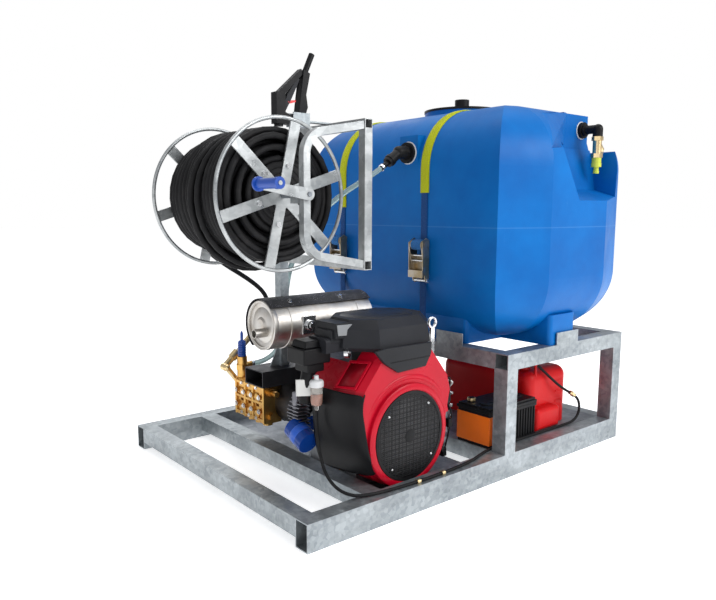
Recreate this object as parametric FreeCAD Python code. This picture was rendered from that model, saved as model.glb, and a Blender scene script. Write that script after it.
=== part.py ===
"""Skid-mounted petrol pressure washer with a water tank, a hose reel and a trigger gun.

Units are millimetres.  Skid coordinates are used throughout: x runs along the front rail from
its left end, y runs from the front rail to the rear rail, z is up from the ground.  save()
moves every solid so that the row origin lies on the ground under the middle of the machine.
"""
import FreeCAD, Part
import math
import os

V = FreeCAD.Vector
X, Y, Z = V(1, 0, 0), V(0, 1, 0), V(0, 0, 1)
START = V(0, 0, 0)

# Skid
SKID_LENGTH, SKID_WIDTH = 1400.0, 1000.0
RAIL_HEIGHT, RAIL_WIDTH = 75.0, 50.0
TUBE, WALL = 50.0, 3.0
CROSS_STARTS = (0.0, 221.0, 750.0, 1350.0)
SECOND_CROSS_WIDTH = 60.0
TRAY_TOP, TRAY_THICK, TRAY_RIGHT = 33.0, 5.0, 690.0
DECK_THICK = 4.0

# Tank stand
STAND_LEFT, STAND_TOP = 750.0, 388.0
CLEAT_THICK, CLEAT_HEIGHT = 4.0, 40.0

# Reel beam, post and cage
BEAM_LEFT, BEAM_FRONT, BEAM_WIDTH, BEAM_HEIGHT = 171.0, 455.0, 100.0, 50.0
POST_SIZE, POST_X, POST_Y = 30.0, 278.0, 505.0
CAGE_TUBE, CAGE_X = 25.0, 284.0
CAGE_FRONT, CAGE_REAR = 122.0, 655.0
BRACKET_TUBE, BRACKET_HALF, BRACKET_SPREAD, BRACKET_BEND = 20.0, 145.0, 34.0, 60.0

# Reel, whose axis is parallel to y
REEL_X, REEL_Z = 88.0, 857.0
CAGE_HALF = 182.5
RIM_RADIUS, ROD = 193.0, 10.0
NEAR_RIM, FAR_RIM = 218.0, 562.0
SPOKE_WIDTH, SPOKE_THICK, SPOKE_ANGLE, SPOKES = 30.0, 5.0, 17.0, 6
SHAFT_RADIUS, STUB_RADIUS = 8.5, 6.0
DRUM_RADIUS, BOLT_CIRCLE = 84.0, 76.0
WOUND_RADIUS, WOUND_FRONT, WOUND_REAR = 176.0, 225.0, 555.0
CRANK_LENGTH, CRANK_ANGLE, CRANK_FRONT = 150.0, 172.0, 102.0

# The loose outer turns of the hose: place along the reel, drop below it and tilt in degrees
LOOSE_TURNS = ((362.0, 16.0, 14.0), (336.0, 12.0, 6.0))

# Water tank
TANK_MIDDLE = V(1066.0, 496.0, 0)
TANK_HALF_WIDE, TANK_HALF_LONG = 331.0, 516.0
TANK_LEFT = TANK_MIDDLE.x - TANK_HALF_WIDE
TANK_SLANT, TANK_SLANT_HALF = 20.2, 537.7
TANK_FLOOR, TANK_TOP, TANK_SKIN, TANK_ROUND = 407.0, 1150.0, 6.0, 200.0
NECK_X, NECK_Y, NECK_RADIUS, NECK_HEIGHT = 1085.0, 500.0, 135.0, 22.0
BOSS_FACE, BOSS_Y, BOSS_Z = TANK_LEFT + 0.4, 420.0, 1007.0
BOSS_HALF = 42.0
SCOOP_BACK, SCOOP_FLOOR = 155.0, 1032.0
STRAP_WIDTH, STRAP_THICK, STRAP_ROWS = 44.0, 2.5, (342.0, 763.0)
RATCHET_LOW, RATCHET_HIGH = 582.0, 729.0

# Engine: a ninety degree V-twin whose crankshaft is parallel to y
CRANK_X, CRANK_Z = 404.0, 195.0
ENGINE_BASE = TRAY_TOP
GRILLE_RADIUS = 128.0
MUFFLER_Y, MUFFLER_Z, MUFFLER_RADIUS = 400.0, 492.0, 72.0
MUFFLER_LEFT, MUFFLER_RIGHT = 133.0, 498.0

# Drive and pump: pinion and gear of module 2
PINION_TEETH, GEAR_TEETH, GEAR_MODULE = 20, 46, 2.0
PUMP_Z = 206.0
PUMP_FRONT, PUMP_REAR, HEAD_LEFT, HEAD_DEPTH = 540.0, 716.0, 230.0, 65.0
HEAD_LOW, HEAD_HIGH = 143.0, 268.0
UNLOADER_X, UNLOADER_Y = 250.0, 704.0

# Running fits
FIT = 0.05

CENTRES = PINION_TEETH * GEAR_MODULE / 2 + GEAR_TEETH * GEAR_MODULE / 2
PUMP_X = CRANK_X - math.sqrt(CENTRES ** 2 - (PUMP_Z - CRANK_Z) ** 2)
ORIGIN = V((REEL_X - RIM_RADIUS - ROD / 2 + SKID_LENGTH) / 2, TANK_MIDDLE.y, 0)


# ---- helpers -------------------------------------------------------------------------------

def box(x0, x1, y0, y1, z0, z1):
    """A block between two corners."""
    return Part.makeBox(x1 - x0, y1 - y0, z1 - z0, V(x0, y0, z0))


def rod(start, axis, radius, length, bore=0.0):
    """A cylinder from a start point, optionally bored through."""
    solid = Part.makeCylinder(radius, length, start, axis)
    if bore:
        solid = solid.cut(Part.makeCylinder(bore, length, start, axis))
    return solid


def cone(start, axis, radius, end_radius, length):
    return Part.makeCone(radius, end_radius, length, start, axis)


def fuse(*solids):
    """One solid from touching or overlapping ones."""
    result = solids[0]
    for solid in solids[1:]:
        result = result.fuse(solid)
    return result.removeSplitter()


def hollow(x0, x1, y0, y1, z0, z1, along, wall=WALL):
    """A rectangular tube, open at both ends of the given direction."""
    inner = {
        "x": (x0, x1, y0 + wall, y1 - wall, z0 + wall, z1 - wall),
        "y": (x0 + wall, x1 - wall, y0, y1, z0 + wall, z1 - wall),
        "z": (x0 + wall, x1 - wall, y0 + wall, y1 - wall, z0, z1),
    }[along]
    return box(x0, x1, y0, y1, z0, z1).cut(box(*inner))


def plate(points, direction):
    """A flat polygon pushed along a direction."""
    wire = Part.makePolygon(list(points) + [points[0]])
    return Part.Face(wire).extrude(direction)


def fillet(solid, radius, chosen):
    """Round the edges that the chosen test picks."""
    return solid.makeFillet(radius, [edge for edge in solid.Edges if chosen(edge)])


def is_along(edge, direction):
    """Whether a straight edge is parallel to a direction."""
    if not isinstance(edge.Curve, (Part.Line, Part.LineSegment)):
        return False
    return abs(abs(edge.tangentAt(edge.FirstParameter).dot(direction)) - 1) < 1e-6


def hexagon(start, axis, across, length):
    """A hexagonal prism with a width across flats, for bolt heads and nuts."""
    radius = across / math.sqrt(3)
    side = V(0, 0, 1) if abs(axis.z) < 0.9 else V(1, 0, 0)
    other = axis.cross(side)
    corners = []
    for index in range(6):
        turn = math.radians(60 * index)
        corners.append(start + side * (radius * math.cos(turn)) + other * (radius * math.sin(turn)))
    return plate(corners, axis * length)


def route(points, name, diameter, print_radii=True):
    """A wire of straight runs joined by tangent arcs, and its arc radii."""
    edges = []
    radii = []
    last = points[0]
    for index in range(1, len(points) - 1):
        before, here, after = points[index - 1:index + 2]
        incoming = (here - before).normalize()
        outgoing = (after - here).normalize()
        turn = incoming.getAngle(outgoing)
        shorter = min((here - before).Length, (after - here).Length)
        reach = 0.45 * shorter
        radii.append(reach / math.tan(turn / 2))
        arc_start = here - incoming * reach
        arc_end = here + outgoing * reach
        inward = (outgoing - incoming).normalize()
        middle = here + inward * (radii[-1] / math.cos(turn / 2) - radii[-1])
        edges.append(Part.LineSegment(last, arc_start).toShape())
        edges.append(Part.Arc(arc_start, middle, arc_end).toShape())
        last = arc_end
    edges.append(Part.LineSegment(last, points[-1]).toShape())
    wire = Part.Wire(edges)
    if print_radii:
        print(name, "length", round(wire.Length), "radii in diameters",
              [round(radius / diameter, 1) for radius in radii])
    return wire


def tube_along(points, name, diameter):
    """A cord's solid: a round section swept along its route."""
    wire = route(points, name, diameter)
    first = (points[1] - points[0]).normalize()
    ring = Part.Wire(Part.makeCircle(diameter / 2, points[0], first))
    solid = wire.makePipeShell([ring], True, False)
    expected = math.pi * diameter ** 2 / 4 * wire.Length
    print(name, "volume over section times length", round(solid.Volume / expected, 4))
    return solid


def save(name, *solids):
    """Write one node, moved to the row origin."""
    shape = solids[0] if len(solids) == 1 else Part.makeCompound(list(solids))
    moved = shape.copy()
    moved.translate(START - ORIGIN)
    moved.exportStep("parts/" + name + ".step")
    if not shape.isValid():
        print(name, "is not valid")


# ---- skid and tank stand ---------------------------------------------------------------------

def make_skid():
    rear = SKID_WIDTH - RAIL_WIDTH
    rails = [hollow(0, SKID_LENGTH, y, y + RAIL_WIDTH, 0, RAIL_HEIGHT, "x") for y in (0, rear)]
    save("side_rails", *rails)
    cross = []
    for x in CROSS_STARTS:
        width = SECOND_CROSS_WIDTH if x == CROSS_STARTS[1] else TUBE
        cross.append(hollow(x, x + width, RAIL_WIDTH, rear, RAIL_HEIGHT - TUBE, RAIL_HEIGHT, "y"))
    save("cross_tubes", *cross)
    tray_left = CROSS_STARTS[1] + SECOND_CROSS_WIDTH
    tray = box(tray_left, TRAY_RIGHT, RAIL_WIDTH, rear, TRAY_TOP - TRAY_THICK, TRAY_TOP)
    deck = box(CROSS_STARTS[2] + TUBE, CROSS_STARTS[3], RAIL_WIDTH, rear,
               RAIL_HEIGHT - DECK_THICK, RAIL_HEIGHT)
    save("tray_plates", tray, deck)


def make_stand():
    low = STAND_TOP - TUBE
    right, rear = SKID_LENGTH, SKID_WIDTH
    corners = [(x, y) for x in (STAND_LEFT, right - TUBE) for y in (0, rear - TUBE)]
    posts = [hollow(x, x + TUBE, y, y + TUBE, RAIL_HEIGHT, low, "z") for x, y in corners]
    save("stand_posts", *posts)
    rails = [hollow(STAND_LEFT, right, y, y + TUBE, low, STAND_TOP, "x") for y in (0, rear - TUBE)]
    sides = [hollow(x, x + TUBE, TUBE, rear - TUBE, low, STAND_TOP, "y")
             for x in (STAND_LEFT, right - TUBE)]
    top = STAND_TOP + CLEAT_HEIGHT
    side_cleats = [box(STAND_LEFT, STAND_LEFT + CLEAT_THICK, y, y + 112, STAND_TOP, top)
                   for y in (182, rear - 294)]
    end_cleats = [box(1000, 1120, y, y + CLEAT_THICK, STAND_TOP, top) for y in (0, rear - CLEAT_THICK)]
    save("stand_top_frame", *rails, *sides, *side_cleats, *end_cleats)


# ---- reel support ------------------------------------------------------------------------------

def make_reel_support():
    under = STAND_TOP - TUBE
    beam = hollow(BEAM_LEFT, STAND_LEFT + TUBE, BEAM_FRONT, BEAM_FRONT + BEAM_WIDTH,
                  under - BEAM_HEIGHT, under, "x")
    leg_front = BEAM_FRONT + BEAM_WIDTH / 2 - TUBE / 2
    leg = hollow(STAND_LEFT, STAND_LEFT + TUBE, leg_front, leg_front + TUBE,
                 RAIL_HEIGHT, under - BEAM_HEIGHT, "z")
    save("reel_beam", beam, leg)

    half = POST_SIZE / 2
    top = REEL_Z - CAGE_HALF - CAGE_TUBE / 2
    post = hollow(POST_X - half, POST_X + half, POST_Y - half, POST_Y + half, under, top, "z", 2.5)
    side = make_gusset(V(POST_X - half, POST_Y, under), V(-1, 0, 0), Y)
    back = make_gusset(V(POST_X, POST_Y + half, under), Y, X)
    save("reel_post", post, side, back)


def make_gusset(corner, outward, normal):
    """A plate in the corner of post and beam, with a hollow curved long side."""
    thick, reach, height = 5.0, 34.0, 90.0
    first = corner + outward * reach
    peak = corner + Z * height
    middle = corner + outward * (reach * 0.43) + Z * (height * 0.43)
    edges = [
        Part.LineSegment(corner, first).toShape(),
        Part.Arc(first, middle, peak).toShape(),
        Part.LineSegment(peak, corner).toShape(),
    ]
    face = Part.Face(Part.Wire(edges))
    face.translate(normal * (-thick / 2))
    return face.extrude(normal * thick)


def make_cage():
    half = CAGE_TUBE / 2
    front, rear = CAGE_FRONT - half, CAGE_REAR + half
    parts = []
    for z in (REEL_Z - CAGE_HALF, REEL_Z + CAGE_HALF):
        parts.append(hollow(CAGE_X - half, CAGE_X + half, front, rear, z - half, z + half, "y", 2))
    low, high = REEL_Z - CAGE_HALF + half, REEL_Z + CAGE_HALF - half
    for y in (CAGE_FRONT, CAGE_REAR):
        parts.append(hollow(CAGE_X - half, CAGE_X + half, y - half, y + half, low, high, "z", 2))
    save("cage_frame", *parts)


def make_bearing_bracket(y, inward):
    """A square tube bent to a D round the end of the reel shaft, with its bearing block."""
    end_x = CAGE_X - CAGE_TUBE / 2
    outer = BRACKET_HALF + BRACKET_SPREAD
    points = [V(end_x, y, REEL_Z + outer), V(REEL_X, y, REEL_Z + BRACKET_HALF),
              V(REEL_X, y, REEL_Z - BRACKET_HALF), V(end_x, y, REEL_Z - outer)]
    edges = []
    last = points[0]
    for index in (1, 2):
        incoming = (points[index] - points[index - 1]).normalize()
        outgoing = (points[index + 1] - points[index]).normalize()
        turn = incoming.getAngle(outgoing)
        reach = BRACKET_BEND * math.tan(turn / 2)
        inward_way = (outgoing - incoming).normalize()
        start = points[index] - incoming * reach
        end = points[index] + outgoing * reach
        middle = points[index] + inward_way * (BRACKET_BEND / math.cos(turn / 2) - BRACKET_BEND)
        edges.append(Part.LineSegment(last, start).toShape())
        edges.append(Part.Arc(start, middle, end).toShape())
        last = end
    edges.append(Part.LineSegment(last, points[-1]).toShape())
    wire = Part.Wire(edges)
    half = BRACKET_TUBE / 2
    way = (points[1] - points[0]).normalize()
    across = way.cross(Y)
    corners = [points[0] + across * a * half + Y * b * half for a, b in ((1, 1), (-1, 1), (-1, -1), (1, -1))]
    section = Part.makePolygon(corners + [corners[0]])
    bracket = wire.makePipeShell([section], True, False)
    bracket = bracket.common(box(0, end_x, y - half, y + half, 0, 2 * REEL_Z))
    bracket = bracket.cut(rod(V(REEL_X, y - half, REEL_Z), Y, STUB_RADIUS + 1, 2 * half))
    face = y + half if inward > 0 else y - half - 20
    block = box(REEL_X - 22, REEL_X + 22, face, face + 20, REEL_Z - 22, REEL_Z + 22)
    block = block.cut(rod(V(REEL_X, face, REEL_Z), Y, SHAFT_RADIUS + FIT, 20))
    return bracket, block


def make_brackets():
    save("bearing_brackets", *make_bearing_bracket(CAGE_FRONT, 1), *make_bearing_bracket(CAGE_REAR, -1))


# ---- reel ----------------------------------------------------------------------------------------

def make_reel():
    centre = V(REEL_X, 0, REEL_Z)
    half = BRACKET_TUBE / 2
    main_front, main_rear = CAGE_FRONT + half + 1, CAGE_REAR - half - 1
    shaft = fuse(rod(centre + Y * (CRANK_FRONT - 3), Y, STUB_RADIUS, main_front - CRANK_FRONT + 3),
                 rod(centre + Y * main_front, Y, SHAFT_RADIUS, main_rear - main_front),
                 rod(centre + Y * main_rear, Y, STUB_RADIUS, 696 - main_rear))
    save("reel_shaft", shaft)

    rims = []
    for y in (NEAR_RIM, FAR_RIM):
        rims.append(Part.makeTorus(RIM_RADIUS, ROD / 2, centre + Y * y, Y))
    save("reel_rims", *rims)

    spokes = []
    bolts = []
    for y in (NEAR_RIM, FAR_RIM):
        low = y - SPOKE_THICK / 2
        star = rod(centre + Y * low, Y, 34, SPOKE_THICK)
        for index in range(SPOKES):
            reach = RIM_RADIUS - ROD / 2 - 0.2
            arm = box(REEL_X + 10, REEL_X + reach, low, low + SPOKE_THICK,
                      REEL_Z - SPOKE_WIDTH / 2, REEL_Z + SPOKE_WIDTH / 2)
            arm = arm.common(rod(centre + Y * low, Y, reach, SPOKE_THICK))
            angle = SPOKE_ANGLE + 360 * index / SPOKES
            arm.rotate(centre, Y, -angle)
            star = star.fuse(arm)
            place = V(math.cos(math.radians(angle)), 0, math.sin(math.radians(angle)))
            hole = centre + place * BOLT_CIRCLE + Y * low
            star = star.cut(rod(hole, Y, 4.5, SPOKE_THICK))
            outward = -1 if y == NEAR_RIM else 1
            face = low if outward < 0 else low + SPOKE_THICK
            seat = centre + place * BOLT_CIRCLE + Y * face
            bolt = hexagon(seat, Y * outward, 13, 6)
            bolts.append(fuse(bolt, rod(seat, Y * -outward, 4, 11)))
        star = star.cut(rod(centre + Y * low, Y, SHAFT_RADIUS + FIT, SPOKE_THICK))
        spokes.append(star.removeSplitter())
    save("reel_spokes", *spokes)
    save("spoke_bolts", *bolts)

    drum_front, drum_rear = NEAR_RIM + SPOKE_THICK / 2, FAR_RIM - SPOKE_THICK / 2
    drum = rod(centre + Y * drum_front, Y, DRUM_RADIUS, drum_rear - drum_front)
    bore = rod(centre + Y * (drum_front + 6), Y, DRUM_RADIUS - 3, drum_rear - drum_front - 12)
    drum = drum.cut(bore).cut(rod(centre + Y * drum_front, Y, 70, drum_rear - drum_front))
    for bolt in bolts:
        drum = drum.cut(bolt)
    save("reel_drum", drum)

    inner = DRUM_RADIUS + 0.5
    outline = [(inner, WOUND_FRONT), (WOUND_RADIUS, WOUND_FRONT), (WOUND_RADIUS, 452), (WOUND_RADIUS - 8, 520),
               (WOUND_RADIUS - 18, WOUND_REAR), (inner, WOUND_REAR)]
    face = Part.Face(Part.makePolygon([centre + X * r + Y * y for r, y in outline + outline[:1]]))
    wound = face.revolve(centre, Y, 360)
    for y, drop, tilt in LOOSE_TURNS:
        turn = Part.makeTorus(WOUND_RADIUS + 8, 8, START, Z)
        turn.rotate(START, X, 90 + tilt)
        turn.translate(V(REEL_X, y, REEL_Z - drop))
        wound = wound.fuse(turn)
    save("hose_coil", wound)


def crank_tip():
    """The axis of the crank's grip."""
    turn = math.radians(CRANK_ANGLE)
    return V(REEL_X + CRANK_LENGTH * math.cos(turn), 0, REEL_Z + CRANK_LENGTH * math.sin(turn))


def make_crank():
    centre = V(REEL_X, 0, REEL_Z)
    tip = crank_tip()
    along = (tip - centre).normalize()
    across = along.cross(Y)
    thick, front, grip_front = 6.0, CRANK_FRONT, CRANK_FRONT - 93
    outline = [centre + across * 15, centre - across * 15, tip - across * 10, tip + across * 10]
    arm = plate([point + Y * front for point in outline], Y * thick)
    arm = fuse(arm, rod(centre + Y * front, Y, 15, thick), rod(tip + Y * front, Y, 10, thick))
    arm = arm.cut(rod(centre + Y * front, Y, STUB_RADIUS + FIT, thick))
    arm = fuse(arm, rod(tip + Y * (grip_front - 2), Y, 5, 95))
    save("crank_arm", arm)
    near = tip + Y * grip_front
    grip = fuse(rod(near, Y, 12, 90), rod(near + Y * 84, Y, 17, 6), rod(near, Y, 13.5, 14))
    save("crank_handle", grip.cut(rod(near, Y, 5 + FIT, 90)))


def make_swivel():
    """The brass rotary inlet on the rear end of the reel shaft, with its port pointing down."""
    centre = V(REEL_X, 0, REEL_Z)
    body = fuse(rod(centre + Y * 668, Y, 16, 40), hexagon(centre + Y * 700, Y, 27, 12),
                rod(centre + Y * 690, V(0, 0, -1), 9, 40))
    save("reel_swivel", body.cut(rod(centre + Y * 668, Y, STUB_RADIUS + FIT, 30)))


# ---- trigger gun ---------------------------------------------------------------------------------

GUN_Y = 282.0
GUN_TOP, GUN_FOOT = V(233, GUN_Y, 1235), V(190, GUN_Y, 1068)
GUN_INLET = V(122, GUN_Y, 1036)
TRIGGER_PIVOT = V(134, GUN_Y, 1078)
LATCH_PIVOT = V(149.5, GUN_Y, 1100)


def make_gun():
    thick = 26.0
    front = GUN_Y - thick / 2
    handle = plate([V(178, front, 1064), V(196, front, 1058), V(208, front, 1090), V(203, front, 1122),
                    V(216, front, 1178), V(196, front, 1186), V(186, front, 1120)], Y * thick)
    foot = plate([V(108, front, 1042), V(200, front, 1042), V(196, front, 1066), V(150, front, 1066),
                  V(136, front, 1072), V(136, front, 1122), V(108, front, 1122)], Y * thick)
    guard = plate([V(112, front + 4, 1118), V(136, front + 4, 1118), V(196, front + 4, 1176),
                   V(190, front + 4, 1188)], Y * (thick - 8))
    slot = plate([V(126, front + 5, 1068), V(176, front + 5, 1066), V(198, front + 5, 1180),
                  V(186, front + 5, 1174), V(126, front + 5, 1122)], Y * (thick - 10))
    way = GUN_TOP - V(206, GUN_Y, 1178)
    tube = rod(V(206, GUN_Y, 1178), way.normalize(), 8, 58)
    inlet = rod(GUN_INLET, Z, 12, 20)
    body = fuse(handle, foot, guard).cut(slot)
    body = fuse(body, tube, inlet)
    body = body.cut(rod(TRIGGER_PIVOT - Y * 15, Y, 3 + FIT, 30))
    save("gun_body", body)

    lever_front = GUN_Y - 7
    lever = plate([V(129, lever_front, 1074), V(139, lever_front, 1074), V(160, lever_front, 1110),
                   V(186, lever_front, 1160), V(180, lever_front, 1164), V(146, lever_front, 1118)], Y * 14)
    lever = fuse(lever, rod(TRIGGER_PIVOT - Y * 12.9, Y, 3, 25.8))
    slot = box(140, 175, GUN_Y - 3, GUN_Y + 3, 1090, 1125)
    lever = lever.cut(slot).cut(rod(LATCH_PIVOT - Y * 8, Y, 1.5 + FIT, 16))
    save("gun_trigger", lever)
    latch = plate([V(146, GUN_Y - 2.5, 1098), V(152, GUN_Y - 2.5, 1095), V(176, GUN_Y - 2.5, 1102),
                   V(176, GUN_Y - 2.5, 1107), V(150, GUN_Y - 2.5, 1104)], Y * 5)
    save("gun_latch", fuse(latch, rod(LATCH_PIVOT - Y * 6.5, Y, 1.5, 13)))


def make_gun_holder():
    """A bracket on the cage's top tube, with a cup that the foot of the gun stands in."""
    low = REEL_Z + CAGE_HALF + CAGE_TUBE / 2
    arm = box(204, CAGE_X + 10, GUN_Y - 12, GUN_Y + 12, low, low + 4)
    cheeks = [box(158, 212, y, y + 3, 1038, 1074) for y in (GUN_Y - 16.5, GUN_Y + 13.5)]
    lug = box(209, 212, GUN_Y - 16.5, GUN_Y + 16.5, 1038, 1074)
    floor = box(158, 212, GUN_Y - 16.5, GUN_Y + 16.5, 1038, 1042)
    save("gun_holder", fuse(arm, *cheeks, lug, floor))


# ---- water tank ------------------------------------------------------------------------------------

def tank_slab(turn, half, inset):
    """A block through the tank's middle with rounded long edges, its two faces turned about z."""
    half -= inset
    block = box(-900, 900, -half, half, TANK_FLOOR + inset, TANK_TOP - inset)
    block = fillet(block, TANK_ROUND - inset, lambda edge: is_along(edge, X))
    block.rotate(START, Z, turn)
    block.translate(TANK_MIDDLE)
    return block


def tank_body(inset):
    """The eight-sided tank body, each side rounded over at top and bottom, smaller by an inset."""
    body = tank_slab(90, TANK_HALF_WIDE, inset)
    for turn, half in ((0, TANK_HALF_LONG), (-TANK_SLANT, TANK_SLANT_HALF), (TANK_SLANT, TANK_SLANT_HALF)):
        body = body.common(tank_slab(turn, half, inset))
    return body


def tank_scoop():
    """The space for the filling tap, cut out of the top of the front right corner."""
    near_low, near_high = V(908, -12, 1004), V(972, 75, 1121)
    far_low, far_high = V(1220, SCOOP_BACK, SCOOP_FLOOR), V(1235, SCOOP_BACK, TANK_TOP + 6)
    open_side = box(1220, 1500, -60, SCOOP_BACK, SCOOP_FLOOR, TANK_TOP + 6)
    forward = V(0, -260, 0)
    upper = plate([near_low, near_high, far_high], forward)
    lower = plate([near_low, far_high, far_low], forward)
    top = SCOOP_FLOOR + 13
    slanted = plate([V(1002, -60, 840), V(1350, 160, 840), V(1219, 160, top), V(871, -60, top)], X * 700)
    from_side = plate([V(800, -60, top), V(800, -60, 838), V(800, -20, 850), V(800, 112, 890),
                       V(800, SCOOP_BACK, top)], X * 700)
    from_front = plate([V(760, -80, top), V(760, -80, 830), V(1350, -80, 830), V(1385, -80, SCOOP_FLOOR),
                        V(1500, -80, SCOOP_FLOOR + 2), V(1500, -80, top)], Y * 300)
    return [open_side, upper, lower, slanted.common(from_side).common(from_front)]


def make_tank():
    outer = tank_body(0)
    block = box(1195, 1366, SCOOP_BACK - 20, 305, 960, TANK_TOP)
    outer = outer.fuse(block)
    for space in tank_scoop():
        outer = outer.cut(space)
    feet = [box(790, 1342, 200, 792, STAND_TOP, 470), box(972, 1110, 8, 984, STAND_TOP, 486)]
    feet = [fillet(foot, 15, lambda edge: is_along(edge, Z)) for foot in feet]
    boss = box(BOSS_FACE, BOSS_FACE + 60, BOSS_Y - BOSS_HALF, BOSS_Y + BOSS_HALF, BOSS_Z - 42, BOSS_Z + 56)
    neck = rod(V(NECK_X, NECK_Y, TANK_TOP - 4), Z, NECK_RADIUS, NECK_HEIGHT + 4)
    shell = fuse(outer, *feet, boss, neck)
    inner = tank_body(TANK_SKIN)
    for space in tank_scoop():
        for way in (-X, X, Y, Z):
            moved = space.copy()
            moved.translate(way * 12 - Z * 8)
            inner = inner.cut(moved)
    inner = max(inner.Solids, key=lambda solid: solid.Volume)
    shell = shell.cut(inner)
    shell = shell.cut(rod(V(NECK_X, NECK_Y, TANK_TOP - 20), Z, NECK_RADIUS - 12, NECK_HEIGHT + 30))
    save("water_tank", shell)
    print("tank inside volume, litres", round(inner.Volume / 1e6))

    lid_low = TANK_TOP + NECK_HEIGHT
    lid = fuse(rod(V(NECK_X, NECK_Y, lid_low), Z, NECK_RADIUS + 2, 8),
               rod(V(NECK_X, NECK_Y, lid_low - 16), Z, NECK_RADIUS - 12.5, 16),
               cone(V(NECK_X, NECK_Y, lid_low + 8), Z, 62, 32, 10),
               rod(V(NECK_X, NECK_Y, lid_low + 18), Z, 26, 30))
    save("tank_lid", lid)


def make_fittings():
    left = V(BOSS_FACE, BOSS_Y, BOSS_Z)
    tail_way = V(-0.82, 0, -0.57).normalize()
    elbow = left - X * 45
    flange = fuse(rod(left, V(-1, 0, 0), 34, 14), rod(left - X * 14, V(-1, 0, 0), 21, 31),
                  Part.makeSphere(21, elbow), rod(elbow, tail_way, 17, 62), rod(elbow, tail_way, 9, 98))
    inlet = V(1325, 155, 1098)
    turn = inlet - Y * 66
    down = V(0, 0, -1)
    right = fuse(rod(inlet, V(0, -1, 0), 28, 14), rod(inlet, V(0, -1, 0), 15, 66),
                 Part.makeSphere(17, turn), rod(turn, down, 17, 26))
    save("bulkhead_fittings", flange, right)
    low = turn + down * 26
    branch_way = V(0.72, 0, -0.69).normalize()
    branch = low + down * 22
    strainer = fuse(rod(low, down, 15, 72), hexagon(low, down, 34, 14), hexagon(low + down * 58, down, 34, 14),
                    rod(branch, branch_way, 12, 34),
                    hexagon(branch + branch_way * 26, branch_way, 27, 10))
    save("y_strainer", strainer)
    join = low + down * 72
    connector = fuse(rod(join, down, 16, 18), rod(join + down * 18, down, 17, 14),
                     rod(join + down * 32, down, 9, 12), rod(join + down * 44, down, 10, 10))
    save("quick_connector", connector)


def strap_loop(gap, y):
    """A solid rounded block a gap outside the tank's side-to-side section."""
    left, right = TANK_LEFT - gap, TANK_LEFT + 2 * TANK_HALF_WIDE + gap
    solid = box(left, right, y - STRAP_WIDTH / 2, y + STRAP_WIDTH / 2, STAND_TOP + 2, TANK_TOP + gap)
    return fillet(solid, TANK_ROUND + gap,
                  lambda edge: is_along(edge, Y) and edge.CenterOfMass.z > TANK_TOP)


def make_straps():
    gap = 0.6
    straps = [strap_loop(gap + STRAP_THICK, y).cut(strap_loop(gap, y)) for y in STRAP_ROWS]
    save("tank_straps", *straps)
    frames = []
    for name, y in zip(("front", "rear"), STRAP_ROWS):
        face = TANK_LEFT - gap - STRAP_THICK - 1
        spindle = V(face - 22, y - 34, RATCHET_HIGH - 22)
        cheeks = [plate([V(face - 2, side, RATCHET_LOW), V(face - 2, side, RATCHET_HIGH - 8),
                         V(face - 16, side, RATCHET_HIGH), V(face - 34, side, RATCHET_HIGH - 10),
                         V(face - 38, side, RATCHET_HIGH - 30), V(face - 18, side, RATCHET_LOW + 10),
                         V(face - 10, side, RATCHET_LOW)], Y * 3)
                  for side in (y - 29, y + 26)]
        bar = rod(V(face - 9, y - 26, RATCHET_LOW + 8), Y, 5, 52)
        plate_back = box(face - 5, face - 2, y - 26, y + 26, RATCHET_LOW + 25, RATCHET_HIGH - 55)
        wound = rod(spindle + Y * 8, Y, 15, 52)
        frame = fuse(*cheeks, bar, plate_back, wound, rod(spindle, Y, 7, 68))
        frames.append(frame)
        arms = []
        for side in (y - 33, y + 30):
            arm = plate([V(spindle.x - 14, side, spindle.z + 8), V(spindle.x + 8, side, spindle.z + 12),
                         V(spindle.x + 8, side, spindle.z - 12), V(face - 22, side, RATCHET_LOW + 30),
                         V(face - 34, side, RATCHET_LOW + 30)], Y * 3)
            arms.append(arm.cut(rod(V(spindle.x, side, spindle.z), Y, 7 + FIT, 3)))
        grip = box(face - 36, face - 28, y - 33, y + 33, RATCHET_LOW + 18, RATCHET_LOW + 42)
        save("ratchet_handle_" + name, fuse(*arms, grip))
    save("ratchet_frames", *frames)


# ---- engine ------------------------------------------------------------------------------------------

def make_crankcase():
    base = box(CRANK_X - 118, CRANK_X + 118, 180, 370, ENGINE_BASE, ENGINE_BASE + 14)
    outline = [V(CRANK_X - 112, 165, ENGINE_BASE + 14), V(CRANK_X + 112, 165, ENGINE_BASE + 14),
               V(CRANK_X + 112, 165, CRANK_Z + 10), V(CRANK_X + 20, 165, CRANK_Z + 102),
               V(CRANK_X - 20, 165, CRANK_Z + 102), V(CRANK_X - 112, 165, CRANK_Z + 10)]
    body = plate(outline, Y * 215)
    case = fuse(base, body, rod(V(CRANK_X, 380, CRANK_Z), Y, 62, 8))
    case = case.cut(rod(V(CRANK_X, 180, CRANK_Z), Y, 70, 185))
    case = case.cut(rod(V(CRANK_X, 160, CRANK_Z), Y, 14 + FIT, 235))
    save("crankcase", case)


def make_cylinder(side, y):
    """One finned cylinder with its head and rocker cover, leaning forty-five degrees."""
    parts = [rod(V(0, 0, 88), Z, 42, 72)]
    for index in range(5):
        low = 92 + 13 * index
        parts.append(box(-54, 54, -54, 54, low, low + 3.5))
    parts.append(box(-50, 50, -50, 50, 157, 188))
    parts.append(fillet(box(-44, 44, -48, 48, 188, 208), 10, lambda edge: is_along(edge, Z)))
    solid = fuse(*parts)
    solid.rotate(START, Y, 45 * side)
    solid.translate(V(CRANK_X, y, CRANK_Z))
    return solid


def make_cylinders():
    save("cylinders", make_cylinder(-1, 250), make_cylinder(1, 262))


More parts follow.
